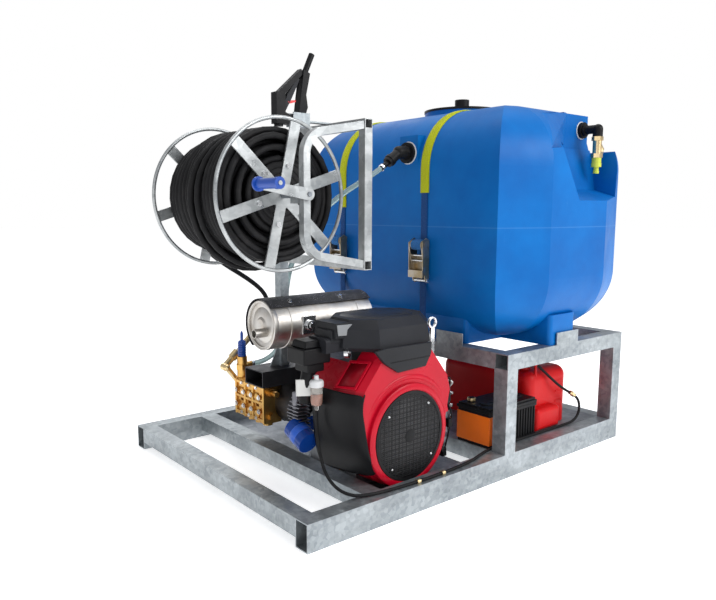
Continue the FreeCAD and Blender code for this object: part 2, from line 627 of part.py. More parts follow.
def shroud_outline(y, grow):
    """The fan shroud's outline seen from the front, as a closed wire at a depth."""
    low = CRANK_Z - 150 - grow
    side = 168 + grow
    wing = 186 + grow
    top = 433 + grow * 0.5
    start = V(CRANK_X - side, y, CRANK_Z + 20)
    end = V(CRANK_X + side, y, CRANK_Z + 20)
    left = [start, V(CRANK_X - wing, y, 300), V(CRANK_X - wing + 14, y, 345), V(CRANK_X - 92, y, top)]
    right = [V(CRANK_X + 92, y, top), V(CRANK_X + wing - 14, y, 345), V(CRANK_X + wing, y, 300), end]
    edges = [Part.makeLine(a, b) for a, b in zip((left + right)[:-1], (left + right)[1:])]
    edges.append(Part.Arc(end, V(CRANK_X, y, low), start).toShape())
    return Part.Wire(edges)


def make_shroud():
    front, back = 74.0, 160.0
    outer = Part.makeLoft([shroud_outline(front, -14), shroud_outline(front + 22, 0),
                           shroud_outline(back, 4)], True, True)
    inner = Part.makeLoft([shroud_outline(front + 4, -18), shroud_outline(front + 23, -4),
                           shroud_outline(back + 1, 0)], True, True)
    ring = rod(V(CRANK_X, 64, CRANK_Z), Y, 144, 14)
    shell = outer.cut(inner)
    shell = shell.fuse(ring)
    shell = shell.cut(rod(V(CRANK_X, 60, CRANK_Z), Y, GRILLE_RADIUS - 4, 60))
    shell = shell.cut(rod(V(CRANK_X, 60, CRANK_Z), Y, GRILLE_RADIUS + 1, 12))
    wings = []
    for side in (-1, 1):
        cover = fuse(box(-66, 66, back + 5, 300, 211, 217), box(-66, -62, back + 5, 300, 176, 211),
                     box(62, 66, back + 5, 300, 176, 211))
        cover.rotate(START, Y, 45 * side)
        cover.translate(V(CRANK_X, 0, CRANK_Z))
        wings.append(cover)
    save("fan_shroud", shell.removeSplitter(), *wings)


def make_grille():
    """The round intake screen: a rim with square mesh bars inside."""
    front = 62.0
    rim = rod(V(CRANK_X, front, CRANK_Z), Y, GRILLE_RADIUS, 9, GRILLE_RADIUS - 9)
    bars = []
    step = 14.0
    count = int(GRILLE_RADIUS // step)
    for index in range(-count, count + 1):
        bars.append(box(CRANK_X + index * step - 1.5, CRANK_X + index * step + 1.5, front + 1, front + 4,
                        CRANK_Z - GRILLE_RADIUS, CRANK_Z + GRILLE_RADIUS))
        bars.append(box(CRANK_X - GRILLE_RADIUS, CRANK_X + GRILLE_RADIUS, front + 1, front + 4,
                        CRANK_Z + index * step - 1.5, CRANK_Z + index * step + 1.5))
    mesh = fuse(*bars).common(rod(V(CRANK_X, front + 1, CRANK_Z), Y, GRILLE_RADIUS - 5, 3))
    save("fan_grille", fuse(rim, mesh))


def make_rotating():
    centre = V(CRANK_X, 0, CRANK_Z)
    disc = rod(centre + Y * 122, Y, 105, 14)
    blades = []
    for index in range(16):
        blade = box(CRANK_X + 60, CRANK_X + 104, 100, 122, CRANK_Z - 2, CRANK_Z + 2)
        blade.rotate(centre, Y, 360 * index / 16)
        blades.append(blade)
    fan = fuse(disc, rod(centre + Y * 105, Y, 22, 35), *blades).cut(rod(centre + Y * 100, Y, 14 + FIT, 45))
    save("flywheel_fan", fan)
    pinion_radius = PINION_TEETH * GEAR_MODULE / 2 - 0.15
    shaft = fuse(rod(centre + Y * 108, Y, 14, 372), rod(centre + Y * 420, Y, pinion_radius, 40),
                 rod(centre + V(0, 225, 18), Y, 16, 70), rod(centre + Y * 215, Y, 38, 10),
                 rod(centre + Y * 295, Y, 38, 10))
    save("crankshaft", shaft)
    gear_radius = GEAR_TEETH * GEAR_MODULE / 2 - 0.15
    pump_centre = V(PUMP_X, 0, PUMP_Z)
    pump_shaft = fuse(rod(pump_centre + Y * 408, Y, 12, 290), rod(pump_centre + Y * 425, Y, gear_radius, 30))
    save("pump_shaft", pump_shaft)


def make_side_shroud():
    """The black air guide beside the crankcase, between the fan shroud and the oil filter."""
    points = [V(CRANK_X - 190, 165, 258), V(CRANK_X - 184, 165, 210), V(CRANK_X - 136, 165, 96),
              V(CRANK_X - 132, 165, 98), V(CRANK_X - 180, 165, 211), V(CRANK_X - 185, 165, 258)]
    save("side_shroud", plate(points, Y * 72))


def octagon(y0, y1, half_front, half_wide, z):
    """The air cleaner's plan: narrow at both ends and wide in the middle."""
    mid = (y0 + y1) / 2
    c = CRANK_X
    return Part.makePolygon([
        V(c - half_front, y0, z), V(c + half_front, y0, z), V(c + half_wide, mid - 40, z),
        V(c + half_wide, mid + 40, z), V(c + half_front, y1, z), V(c - half_front, y1, z),
        V(c - half_wide, mid + 40, z), V(c - half_wide, mid - 40, z), V(c - half_front, y0, z)])


def make_air_cleaner():
    cover = Part.makeLoft([octagon(84, 314, 96, 166, 450), octagon(94, 308, 92, 160, 500),
                           octagon(116, 296, 80, 135, 524)], True, True)
    save("air_cleaner_cover", cover)
    tray = Part.makeLoft([octagon(98, 306, 84, 140, 437), octagon(88, 312, 94, 162, 449.7)], True, True)
    stem = box(CRANK_X - 40, CRANK_X + 40, 190, 270, 330, 438)
    snorkel = box(CRANK_X - 214, CRANK_X - 110, 170, 250, 438, 478)
    snorkel = fillet(snorkel, 12, lambda edge: is_along(edge, X) and edge.CenterOfMass.z > 470)
    base = fuse(tray, stem, snorkel).cut(cover)
    save("air_cleaner_base", base)


def make_exhaust():
    start = V(MUFFLER_LEFT, MUFFLER_Y, MUFFLER_Z)
    length = MUFFLER_RIGHT - MUFFLER_LEFT
    body = rod(start, X, MUFFLER_RADIUS, length)
    body = body.cut(rod(start, X, MUFFLER_RADIUS - 9, 12))
    tail = rod(start + V(-38, -22, -18), X, 13, 60, 11)
    end_plate = rod(start + X * 12, X, MUFFLER_RADIUS - 9, 3)
    pipe_points = [V(262, 380, MUFFLER_Z - 60), V(262, 372, 395), V(258, 352, 350), V(252, 325, 330)]
    pipe = tube_along(pipe_points, "exhaust pipe", 26)
    save("muffler", fuse(body, end_plate, tail, pipe))
    shield = rod(start - X * 3, X, MUFFLER_RADIUS + 6, length + 6, MUFFLER_RADIUS + 3)
    opening = box(MUFFLER_LEFT - 4, MUFFLER_RIGHT + 4, MUFFLER_Y - 90, MUFFLER_Y + 4,
                  MUFFLER_Z - 90, MUFFLER_Z + 12)
    save("heat_shield", shield.cut(opening))


def make_engine_details():
    way = V(0, -0.92, -0.39).normalize()
    seat = V(196, 330, 196)
    can = fuse(rod(seat, way, 33, 78), rod(seat - way * 8, way, 24, 10))
    boss = box(200, CRANK_X - 112, 330, 362, 172, 205)
    save("oil_filter", can.cut(boss), boss)
    starter = fuse(rod(V(CRANK_X + 150, 185, 112), Y, 37, 120), rod(V(CRANK_X + 150, 168, 112), Y, 24, 152),
                   rod(V(CRANK_X + 136, 200, 166), Y, 19, 80))
    save("starter_motor", starter)
    foot = V(180, 200, 292)
    body = fuse(rod(foot, Z, 17, 58), rod(foot + Z * 56, Z, 21, 14), rod(foot - Z * 16, Z, 4.5, 20),
                rod(foot + Z * 70, Z, 5, 14))
    save("fuel_filter", body)


# ---- drive and pump --------------------------------------------------------------------------------

def make_gearbox():
    outer = fuse(rod(V(CRANK_X, 388.3, CRANK_Z), Y, 82, 100), rod(V(PUMP_X, 388.3, PUMP_Z), Y, 70, 151.7))
    inner = fuse(rod(V(CRANK_X, 396, CRANK_Z), Y, 50, 80), rod(V(PUMP_X, 396, PUMP_Z), Y, 54, 80))
    case = outer.cut(inner)
    case = case.cut(rod(V(CRANK_X, 380, CRANK_Z), Y, 14 + FIT, 30))
    case = case.cut(rod(V(PUMP_X, 380, PUMP_Z), Y, 12 + FIT, 200))
    case = case.cut(rod(V(CRANK_X, 470, CRANK_Z), Y, 16, 15))
    save("gearbox", case)


def make_pump():
    crank_right = 430.0
    case = box(HEAD_LEFT + HEAD_DEPTH + 0.3, crank_right, PUMP_FRONT, PUMP_REAR, 140, 280)
    case = fillet(case, 18, lambda edge: is_along(edge, Y))
    case = case.cut(rod(V(PUMP_X, PUMP_FRONT - 1, PUMP_Z), Y, 12 + FIT, 160))
    save("pump_crankcase", case)
    head = box(HEAD_LEFT, HEAD_LEFT + HEAD_DEPTH, PUMP_FRONT, PUMP_REAR, HEAD_LOW, HEAD_HIGH)
    head = fillet(head, 6, lambda edge: is_along(edge, Y) and edge.CenterOfMass.x < HEAD_LEFT + 1)
    for y in (581, 628, 675):
        groove = box(HEAD_LEFT - 1, HEAD_LEFT + 10, y - 9, y + 9, HEAD_LOW + 52, HEAD_HIGH - 52)
        head = head.cut(groove)
    inlet = fuse(rod(V(256, PUMP_FRONT, 244), V(0, -1, 0), 14, 14), rod(V(256, PUMP_FRONT, 244), V(0, -1, 0), 9, 34))
    plug = hexagon(V(256, PUMP_FRONT, 166), V(0, -1, 0), 24, 12)
    save("pump_head", fuse(head, inlet, plug))
    caps = []
    for y in (571, 615, 659):
        caps.append(fuse(hexagon(V(262, y, HEAD_HIGH), Z, 30, 12), rod(V(262, y, HEAD_HIGH), Z, 19, 4)))
        caps.append(fuse(hexagon(V(262, y, HEAD_LOW), V(0, 0, -1), 30, 12),
                         rod(V(262, y, HEAD_LOW), V(0, 0, -1), 19, 4)))
    for y in (558, 604.5, 651.5, 698):
        for z in (183, 229):
            caps.append(fuse(rod(V(HEAD_LEFT, y, z), V(-1, 0, 0), 11, 2),
                             hexagon(V(HEAD_LEFT - 2, y, z), V(-1, 0, 0), 15, 8)))
    save("pump_caps", *caps)


def make_unloader():
    axis = V(UNLOADER_X, UNLOADER_Y, 0)
    body = fuse(rod(axis + Z * (HEAD_HIGH + 0.0), Z, 17, 68), hexagon(axis + Z * 292, Z, 38, 18))
    body = fuse(body, rod(V(UNLOADER_X, UNLOADER_Y, 306), X, 9, 34))
    body = body.cut(rod(axis + Z * 320, Z, 5 + FIT, 20))
    save("unloader", body)
    knob = fuse(rod(axis + Z * 336.4, Z, 13, 52), rod(axis + Z * 321, Z, 5, 16), rod(axis + Z * 388, Z, 5, 22),
                cone(axis + Z * 410, Z, 4, 2, 12))
    save("unloader_knob", knob)


# ---- hoses ---------------------------------------------------------------------------------------------

FEED_DIAMETER, RETURN_DIAMETER, FUEL_DIAMETER = 15.0, 17.0, 9.0

FEED_ROUTE = [V(88, 690, 817), V(88, 690, 776), V(97, 694, 736), V(120, 698, 701), V(157, 702, 670),
              V(200, 703, 641), V(245, 702, 614), V(288, 700, 586), V(326, 699, 556), V(350, 704, 527),
              V(364, 715, 492), V(363, 729, 457), V(351, 740, 430), V(327.5, 746, 407.4), V(306, 746, 388)]
RETURN_ROUTE = [V(608, 420, 951), V(571, 424, 928), V(528, 438, 902), V(478, 458, 868), V(428, 482, 822),
                V(386, 506, 764), V(357, 530, 701), V(340, 550, 634), V(337, 562, 584), V(342, 576, 536),
                V(354, 595, 491), V(371, 618, 449), V(386, 645, 408), V(386, 666, 372), V(374, 684, 341),
                V(351, 697, 318), V(319, 704, 306), V(285, 704, 306)]
FUEL_ROUTE = [V(180, 200, 276), V(180, 200, 238), V(174, 188, 198), V(160, 156, 158), V(148, 118, 126),
              V(150, 76, 101), V(176, 46, 85), V(216, 33, 80.5), V(270, 24, 80), V(340, 17, 80), V(440, 15, 80),
              V(540, 18, 80), V(628, 27, 80), V(698, 48, 80), V(758, 59.5, 80), V(834, 60.5, 80),
              V(930, 58.5, 80), V(1030, 58, 80), V(1110, 57, 80), V(1162, 56, 80.3), V(1202, 55, 83),
              V(1232, 56, 97), V(1246, 58, 123), V(1240, 60, 151), V(1218, 62, 172), V(1188, 66, 188),
              V(1156, 72, 206), V(1124, 82, 231), V(1092, 96, 262), V(1058.2, 110.4, 295)]


def make_hoses():
    save("feed_hose", tube_along(FEED_ROUTE, "feed hose", FEED_DIAMETER))
    save("return_hose", tube_along(RETURN_ROUTE, "return hose", RETURN_DIAMETER))
    save("fuel_hose", tube_along(FUEL_ROUTE, "fuel hose", FUEL_DIAMETER))


def make_hose_fittings():
    start = FEED_ROUTE[-1]
    way = (start - FEED_ROUTE[-2]).normalize()
    coupling = fuse(rod(start, way, 10, 38), rod(start + way * 34, way, 8, 36), rod(start + way * 66, way, 15, 30),
                    rod(start + way * 94, way, 11, 36))
    turn = start + way * 134
    elbow_end = V(turn.x, 730, turn.z)
    flange_end = V(248, 730, 246)
    link_way = (flange_end - elbow_end).normalize()
    link_length = (flange_end - elbow_end).Length
    link = fuse(rod(turn + Y * 8, V(0, -1, 0), 12.5, 24), Part.makeSphere(12, elbow_end),
                rod(elbow_end, link_way, 9, link_length), Part.makeSphere(11, flange_end),
                rod(V(248, PUMP_REAR, 246), Y, 12, 14))
    coupling = fuse(coupling, link)
    clips = []
    for x, y in ((390, 16), (490, 16.5)):
        ring = rod(V(x - 6, y, 80), X, 7, 12, 5.2)
        clips.append(ring.common(box(x - 6, x + 6, y - 8, y + 8, RAIL_HEIGHT, 90)))
    save("hose_fittings", coupling, *clips)
    low, high = FUEL_ROUTE[24], FUEL_ROUTE[25]
    way = (high - low).normalize()
    middle = (low + high) / 2
    save("fuel_coupling", fuse(rod(middle - way * 15, way, 6.5, 30), hexagon(middle - way * 7, way, 17, 14)))


# ---- battery and fuel can ---------------------------------------------------------------------------------

def make_battery():
    case = fillet(box(756, 996, 68, 198, RAIL_HEIGHT, 190), 5, lambda edge: is_along(edge, Z))
    lid = box(758, 994, 70, 196, 189, 203)
    posts = [rod(V(x, 170, 203), Z, 9, 14) for x in (790, 962)]
    save("battery", fuse(case, lid, *posts))


def make_can():
    body = fillet(box(1005, 1235, 104, 500, RAIL_HEIGHT, 275), 36,
                  lambda edge: is_along(edge, Z) or edge.BoundBox.ZMin > 274)
    nose = fillet(box(1012, 1146, 70, 160, RAIL_HEIGHT, 152), 16,
                  lambda edge: edge.BoundBox.YMax < 71 or edge.BoundBox.ZMin > 151)
    neck = rod(V(1052, 160, 270), Z, 20, 13)
    pickup = fuse(rod(V(1052, 113, 225), Z, 4.5, 70), Part.makeSphere(8.3, V(1052, 113, 301)))
    save("fuel_can", fuse(body, nose, neck, pickup))
    save("can_cap", rod(V(1052, 160, 283.3), Z, 24, 20))


def main():
    os.makedirs("parts", exist_ok=True)
    make_skid()
    make_stand()
    make_reel_support()
    make_cage()
    make_brackets()
    make_reel()
    make_crank()
    make_swivel()
    make_gun()
    make_gun_holder()
    make_tank()
    make_fittings()
    make_straps()
    make_crankcase()
    make_cylinders()
    make_shroud()
    make_grille()
    make_rotating()
    make_side_shroud()
    make_air_cleaner()
    make_exhaust()
    make_engine_details()
    make_gearbox()
    make_pump()
    make_unloader()
    make_hoses()
    make_hose_fittings()
    make_battery()
    make_can()


main()
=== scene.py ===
import math
import random

import bmesh
import bpy
from mathutils import Matrix, Vector


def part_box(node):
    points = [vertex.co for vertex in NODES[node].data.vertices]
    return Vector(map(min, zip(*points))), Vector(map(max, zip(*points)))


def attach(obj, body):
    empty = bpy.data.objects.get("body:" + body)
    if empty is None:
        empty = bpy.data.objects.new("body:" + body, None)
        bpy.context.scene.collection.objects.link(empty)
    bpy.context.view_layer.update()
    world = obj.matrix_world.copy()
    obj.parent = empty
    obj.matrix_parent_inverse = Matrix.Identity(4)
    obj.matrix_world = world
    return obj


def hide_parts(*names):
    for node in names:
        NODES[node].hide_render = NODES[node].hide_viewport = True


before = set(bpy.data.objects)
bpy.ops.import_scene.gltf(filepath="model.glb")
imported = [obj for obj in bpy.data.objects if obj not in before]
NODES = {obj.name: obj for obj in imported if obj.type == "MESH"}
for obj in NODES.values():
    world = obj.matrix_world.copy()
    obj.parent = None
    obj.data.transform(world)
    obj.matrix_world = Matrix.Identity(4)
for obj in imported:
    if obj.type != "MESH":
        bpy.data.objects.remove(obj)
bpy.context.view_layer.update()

SKID = Vector(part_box("side_rails")[0])
X, Y, Z = Vector((1, 0, 0)), Vector((0, 1, 0)), Vector((0, 0, 1))


def P(x, y, z):
    """A point given in millimetres from the skid's front left bottom corner, in the row frame."""
    return SKID + Vector((x, y, z)) / 1000


# ---- camera and lights -------------------------------------------------------------------

CAMERA_PLACE = (-922, -1259, 818)
CAMERA_FORWARD, CAMERA_RIGHT = (0.6226, 0.7698, -0.140), (0.7776, -0.6287, 0)
LENS, SENSOR, SHIFT = 34.74, 36, (0.0269, 0.0115)
WORLD_STRENGTH, FLOOR_GLOW = 0.5, 0.56


def make_camera():
    """The photograph's viewing angle. The camera's place is in millimetres from the skid's corner."""
    data = bpy.data.cameras.new("camera")
    data.lens = LENS
    data.sensor_width = SENSOR
    data.shift_x, data.shift_y = SHIFT
    data.clip_start, data.clip_end = 0.05, 50
    camera = bpy.data.objects.new("camera", data)
    bpy.context.scene.collection.objects.link(camera)
    forward = Vector(CAMERA_FORWARD).normalized()
    right = Vector(CAMERA_RIGHT).normalized()
    up = right.cross(forward).normalized()
    turn = Matrix((right, up, -forward)).transposed().to_4x4()
    camera.matrix_world = Matrix.Translation(P(*CAMERA_PLACE)) @ turn
    bpy.context.scene.camera = camera


def area_light(name, place, target, size, power):
    data = bpy.data.lights.new(name, "AREA")
    data.shape = "RECTANGLE"
    data.size, data.size_y = size
    data.energy = power
    lamp = bpy.data.objects.new(name, data)
    bpy.context.scene.collection.objects.link(lamp)
    lamp.location = place
    lamp.rotation_euler = (Vector(target) - Vector(place)).to_track_quat("-Z", "Y").to_euler()


def make_lights():
    middle = Vector((0, 0, 0.5))
    area_light("key", (1.8, -4.2, 3.0), middle, (3.0, 2.4), 150)
    area_light("fill", (-3.6, -2.4, 2.0), middle, (2.0, 2.0), 14)
    area_light("top", (0.2, 0.2, 4.6), middle, (3.5, 3.5), 80)
    area_light("back", (1.6, 4.2, 2.8), middle, (3.0, 2.0), 40)


def make_world():
    """Pale light on the object, and plain white where the camera sees past it."""
    world = bpy.data.worlds.new("studio")
    world.use_nodes = True
    tree = world.node_tree
    light = tree.nodes["Background"]
    light.inputs[0].default_value = (0.96, 0.97, 1.0, 1)
    light.inputs[1].default_value = WORLD_STRENGTH
    backdrop = tree.nodes.new("ShaderNodeBackground")
    backdrop.inputs[0].default_value = (1, 1, 1, 1)
    seen = tree.nodes.new("ShaderNodeLightPath")
    choice = tree.nodes.new("ShaderNodeMixShader")
    tree.links.new(seen.outputs["Is Camera Ray"], choice.inputs[0])
    tree.links.new(light.outputs[0], choice.inputs[1])
    tree.links.new(backdrop.outputs[0], choice.inputs[2])
    tree.links.new(choice.outputs[0], tree.nodes["World Output"].inputs[0])
    bpy.context.scene.world = world
    bpy.context.scene.view_settings.view_transform = "Standard"


def make_floor():
    """A plain pale floor that glows a little, so that it meets the white backdrop."""
    bm = bmesh.new()
    bmesh.ops.create_grid(bm, x_segments=1, y_segments=1, size=30)
    mesh = bpy.data.meshes.new("floor")
    bm.to_mesh(mesh)
    bm.free()
    floor = bpy.data.objects.new("floor", mesh)
    bpy.context.scene.collection.objects.link(floor)
    paint = bpy.data.materials.new("floor_paint")
    paint.use_nodes = True
    shader = paint.node_tree.nodes["Principled BSDF"]
    shader.inputs["Base Color"].default_value = (0.96, 0.96, 0.96, 1)
    shader.inputs["Roughness"].default_value = 0.9
    shader.inputs["Emission Color"].default_value = (1, 1, 1, 1)
    shader.inputs["Emission Strength"].default_value = FLOOR_GLOW
    mesh.materials.append(paint)


make_camera()
make_lights()
make_world()
make_floor()


# ---- materials -----------------------------------------------------------------------------

class Shader:
    """A procedural material under construction."""

    def __init__(self, name, rough=0.5, metal=0.0, **sockets):
        self.material = bpy.data.materials.new(name)
        self.material.use_nodes = True
        self.tree = self.material.node_tree
        self.bsdf = self.tree.nodes["Principled BSDF"]
        self.bsdf.inputs["Roughness"].default_value = rough
        self.bsdf.inputs["Metallic"].default_value = metal
        for socket, value in sockets.items():
            self.bsdf.inputs[socket.replace("_", " ")].default_value = value
        self.where = self.tree.nodes.new("ShaderNodeTexCoord").outputs["Object"]

    def node(self, kind, settings=(), **inputs):
        made = self.tree.nodes.new("ShaderNode" + kind)
        for key, value in dict(settings).items():
            setattr(made, key, value)
        for key, value in inputs.items():
            numbered = key[0] == "i" and key[1:].isdigit()
            socket = made.inputs[int(key[1:]) if numbered else key.replace("_", " ")]
            if isinstance(value, bpy.types.NodeSocket):
                self.tree.links.new(value, socket)
            else:
                socket.default_value = value
        return made

    def stretched(self, scale):
        return self.node("Mapping", Vector=self.where, Scale=scale).outputs[0]

    def noise(self, scale, detail=4.0, rough=0.55, where=None):
        made = self.node("TexNoise", Vector=where or self.where, Scale=scale, Detail=detail, Roughness=rough)
        return made.outputs["Fac"]

    def cells(self, scale):
        return self.node("TexVoronoi", Vector=self.where, Scale=scale).outputs["Color"]

    def wave(self, scale, direction="X"):
        made = self.node("TexWave", {"bands_direction": direction}, Vector=self.where, Scale=scale)
        return made.outputs["Fac"]

    def span(self, value, low, high, out_low=0.0, out_high=1.0):
        made = self.node("MapRange", i0=value, i1=low, i2=high, i3=out_low, i4=out_high)
        return made.outputs[0]

    def mix(self, factor, low, high):
        made = self.node("Mix", {"data_type": "RGBA"})
        for socket, value in ((made.inputs[0], factor), (made.inputs[6], low), (made.inputs[7], high)):
            if isinstance(value, bpy.types.NodeSocket):
                self.tree.links.new(value, socket)
            else:
                socket.default_value = (*value, 1)
        return made.outputs[2]

    def maths(self, operation, first, second):
        return self.node("Math", {"operation": operation}, i0=first, i1=second).outputs[0]

    def colour(self, value):
        if isinstance(value, bpy.types.NodeSocket):
            self.tree.links.new(value, self.bsdf.inputs["Base Color"])
        else:
            self.bsdf.inputs["Base Color"].default_value = (*value, 1)
        return self

    def rough(self, value):
        self.tree.links.new(value, self.bsdf.inputs["Roughness"])
        return self

    def bump(self, height, depth, strength=0.6):
        made = self.node("Bump", Height=height, Distance=depth, Strength=strength)
        self.tree.links.new(made.outputs[0], self.bsdf.inputs["Normal"])
        return self


def galvanised(name, dark, light, rough=0.42, spangle=85):
    s = Shader(name, metal=0.75)
    grain = s.span(s.cells(spangle), 0.1, 0.9)
    blotch = s.span(s.noise(5.5, 5), 0.34, 0.66)
    tone = s.maths("ADD", s.maths("MULTIPLY", grain, 0.45), s.maths("MULTIPLY", blotch, 0.55))
    streak = s.span(s.noise(16, 6, 0.7, s.stretched((0.25, 1, 1))), 0.42, 0.62)
    even = s.mix(tone, dark, light)
    s.colour(s.mix(s.maths("MULTIPLY", streak, 0.35), even, tuple(c * 0.55 for c in dark)))
    s.rough(s.span(s.noise(22, 4), 0.3, 0.7, rough - 0.1, rough + 0.14))
    s.bump(s.maths("ADD", s.maths("MULTIPLY", grain, 0.4), s.noise(180, 3)), 0.0006, 0.35)
    return s.material


def plastic(name, base, spread=0.12, rough=0.5, grain=320, depth=0.0004, strength=0.4, dust=0.0,
            **sockets):
    s = Shader(name, rough, **sockets)
    low = tuple(c * (1 - spread) for c in base)
    high = tuple(min(1.0, c * (1 + spread)) for c in base)
    tint = s.mix(s.span(s.noise(6, 5), 0.3, 0.7), low, high)
    if dust:
        specks = s.span(s.noise(14, 8, 0.72), 0.48, 0.8)
        tint = s.mix(s.maths("MULTIPLY", specks, dust), tint, (0.5, 0.48, 0.45))
    s.colour(tint)
    s.rough(s.span(s.noise(18, 5), 0.25, 0.75, rough - 0.07, rough + 0.09))
    s.bump(s.noise(grain, 3), depth, strength)
    return s.material


def metal(name, base, spread=0.15, rough=0.35, grain=140, depth=0.0004, strength=0.35, tint=None,
          tint_amount=0.5):
    s = Shader(name, rough, 1.0)
    low = tuple(c * (1 - spread) for c in base)
    high = tuple(min(1.0, c * (1 + spread)) for c in base)
    colour = s.mix(s.span(s.noise(9, 6), 0.3, 0.7), low, high)
    if tint:
        stains = s.span(s.noise(26, 6, 0.65), 0.45, 0.72)
        colour = s.mix(s.maths("MULTIPLY", stains, tint_amount), colour, tint)
    s.colour(colour)
    s.rough(s.span(s.noise(30, 6), 0.25, 0.75, rough - 0.1, rough + 0.14))
    s.bump(s.noise(grain, 5), depth, strength)
    return s.material


def webbing(name, base, edge):
    """A woven strap: diagonal ribs crossed by a second weave, with painted shade darkening the grooves
    between the ribs.
    """
    s = Shader(name, 0.75, Sheen_Weight=0.05, Specular_IOR_Level=0.15)
    ribs = s.wave(420, "DIAGONAL")
    cross = s.wave(260, "Y")
    # The second colour, edge, is painted shade: it fills the low grooves of the weave, where the bump is
    # lowest.
    s.colour(s.mix(s.maths("MULTIPLY", ribs, s.span(cross, 0.0, 1.0, 0.5, 1.0)), edge, base))
    s.bump(s.maths("ADD", ribs, cross), 0.0008, 0.7)
    return s.material


def speckled(name):
    """Black crinkle coating with fine pale flecks."""
    s = Shader(name, 0.55, 0.1)
    flecks = s.span(s.noise(420, 2, 0.5), 0.63, 0.7)
    patches = s.span(s.noise(40, 3), 0.4, 0.6, 0.25, 1.0)
    s.colour(s.mix(s.maths("MULTIPLY", flecks, patches), (0.012, 0.012, 0.015), (0.62, 0.62, 0.66)))
    s.bump(s.noise(260, 4), 0.0009, 0.7)
    return s.material


MOULD_SEAM = 0.766  # height of the tank's moulding seam, in metres


def tank_plastic():
    s = Shader("tank_polyethylene", 0.36, Specular_IOR_Level=0.16)
    cloudy = s.span(s.noise(2.6, 5, 0.6), 0.32, 0.68)
    tint = s.mix(cloudy, (0.0, 0.098, 0.37), (0.0, 0.16, 0.52))
    scuff = s.span(s.noise(46, 9, 0.8, s.stretched((1, 1, 0.35))), 0.62, 0.78)
    height = s.node("SeparateXYZ", Vector=s.where).outputs[2]
    seam = s.span(s.maths("ABSOLUTE", s.maths("SUBTRACT", height, MOULD_SEAM), 0.0), 0.001, 0.0022, 1.0, 0.0)
    tint = s.mix(s.maths("MULTIPLY", seam, 0.22), tint, (0.12, 0.32, 0.62))
    s.colour(s.mix(s.maths("MULTIPLY", scuff, 0.16), tint, (0.2, 0.4, 0.68)))
    s.rough(s.span(s.noise(12, 5), 0.25, 0.75, 0.34, 0.48))
    s.bump(s.maths("ADD", s.noise(240, 3), s.maths("MULTIPLY", s.noise(7, 2), 3.0)), 0.0009, 0.35)
    return s.material


def fine_mesh(name):
    """A woven black screen: the square holes are painted near black, as painted shade of the space behind
    the screen.
    """
    s = Shader(name, 0.5, 0.3)
    wires = s.maths("MAXIMUM", s.wave(56), s.wave(56, "Z"))
    shown = s.span(wires, 0.55, 0.95)
    # The near-black hole colour is painted shade seen through the screen; the wires keep the screen's own
    # black.
    s.colour(s.mix(shown, (0.001, 0.001, 0.001), (0.045, 0.045, 0.048)))
    s.bump(shown, 0.0015, 0.8)
    return s.material


def clear(name, tint, rough, transmission=0.85):
    s = Shader(name, rough, Transmission_Weight=transmission, IOR=1.35)
    s.colour(s.mix(s.span(s.noise(30, 3), 0.3, 0.7), tuple(c * 0.85 for c in tint), tint))
    s.bump(s.noise(160, 2), 0.0003, 0.3)
    return s.material


GALV = galvanised("galvanised_steel", (0.22, 0.25, 0.27), (0.50, 0.54, 0.56))
GALV_BRIGHT = galvanised("galvanised_bright", (0.30, 0.32, 0.33), (0.62, 0.64, 0.64), 0.36, 60)
GALV_DARK = galvanised("galvanised_dull", (0.16, 0.18, 0.20), (0.34, 0.36, 0.39), 0.5, 70)
TANK = tank_plastic()
RUBBER = plastic("hose_rubber", (0.010, 0.010, 0.011), 0.3, 0.6, 520, 0.0004, 0.5, dust=0.03,
                 Specular_IOR_Level=0.17)
BLACK = plastic("black_plastic", (0.008, 0.008, 0.009), 0.25, 0.44, 380, 0.0003, 0.45, dust=0.02,
                Specular_IOR_Level=0.17)
BLACK_SATIN = plastic("black_satin", (0.006, 0.006, 0.007), 0.25, 0.38, 260, 0.0003, 0.35,
                      Specular_IOR_Level=0.17)
CHARCOAL_SMOOTH = plastic("charcoal_smooth", (0.019, 0.020, 0.023), 0.15, 0.38, 420, 0.0003, 0.35,
                          Specular_IOR_Level=0.17)
CHARCOAL = plastic("charcoal_plastic", (0.021, 0.022, 0.026), 0.2, 0.48, 300, 0.0005, 0.5,
                   Specular_IOR_Level=0.17)
GREY = plastic("grey_plastic", (0.23, 0.24, 0.25), 0.12, 0.45)
RED = plastic("shroud_red", (0.50, 0.002, 0.018), 0.1, 0.3, 120, 0.0002, 0.2, Specular_IOR_Level=0.2,
              Coat_Weight=0.08, Coat_Roughness=0.15)
# Dark red: one engine wire's own colour, and painted shade on the floor of the shroud's recess.
DARK_RED_AND_RECESS_SHADE = plastic("dark_red_and_recess_shade", (0.26, 0.002, 0.010), 0.12, 0.4, 120, 0.0002, 0.2, Specular_IOR_Level=0.15)
CAN_RED = plastic("can_red", (0.60, 0.006, 0.008), 0.12, 0.38, 200, 0.0006, 0.4, Specular_IOR_Level=0.2)
BLUE = plastic("handle_blue", (0.008, 0.06, 0.34), 0.15, 0.3, 200, 0.0003, 0.3)
ORANGE = plastic("orange_wrap", (0.90, 0.17, 0.008), 0.1, 0.4)
LIME = plastic("lime_plastic", (0.55, 0.6, 0.06), 0.15, 0.3)
LATCH = plastic("latch_red", (0.75, 0.02, 0.02), 0.1, 0.35)
LABEL = plastic("label_grey", (0.62, 0.62, 0.60), 0.06, 0.45)
FILTER = plastic("filter_blue", (0.003, 0.05, 0.30), 0.15, 0.22, 60, 0.0002, 0.2, Specular_IOR_Level=0.4)
FILTER_PALE = plastic("filter_band", (0.02, 0.12, 0.62), 0.15, 0.3, 60, 0.0002, 0.2)
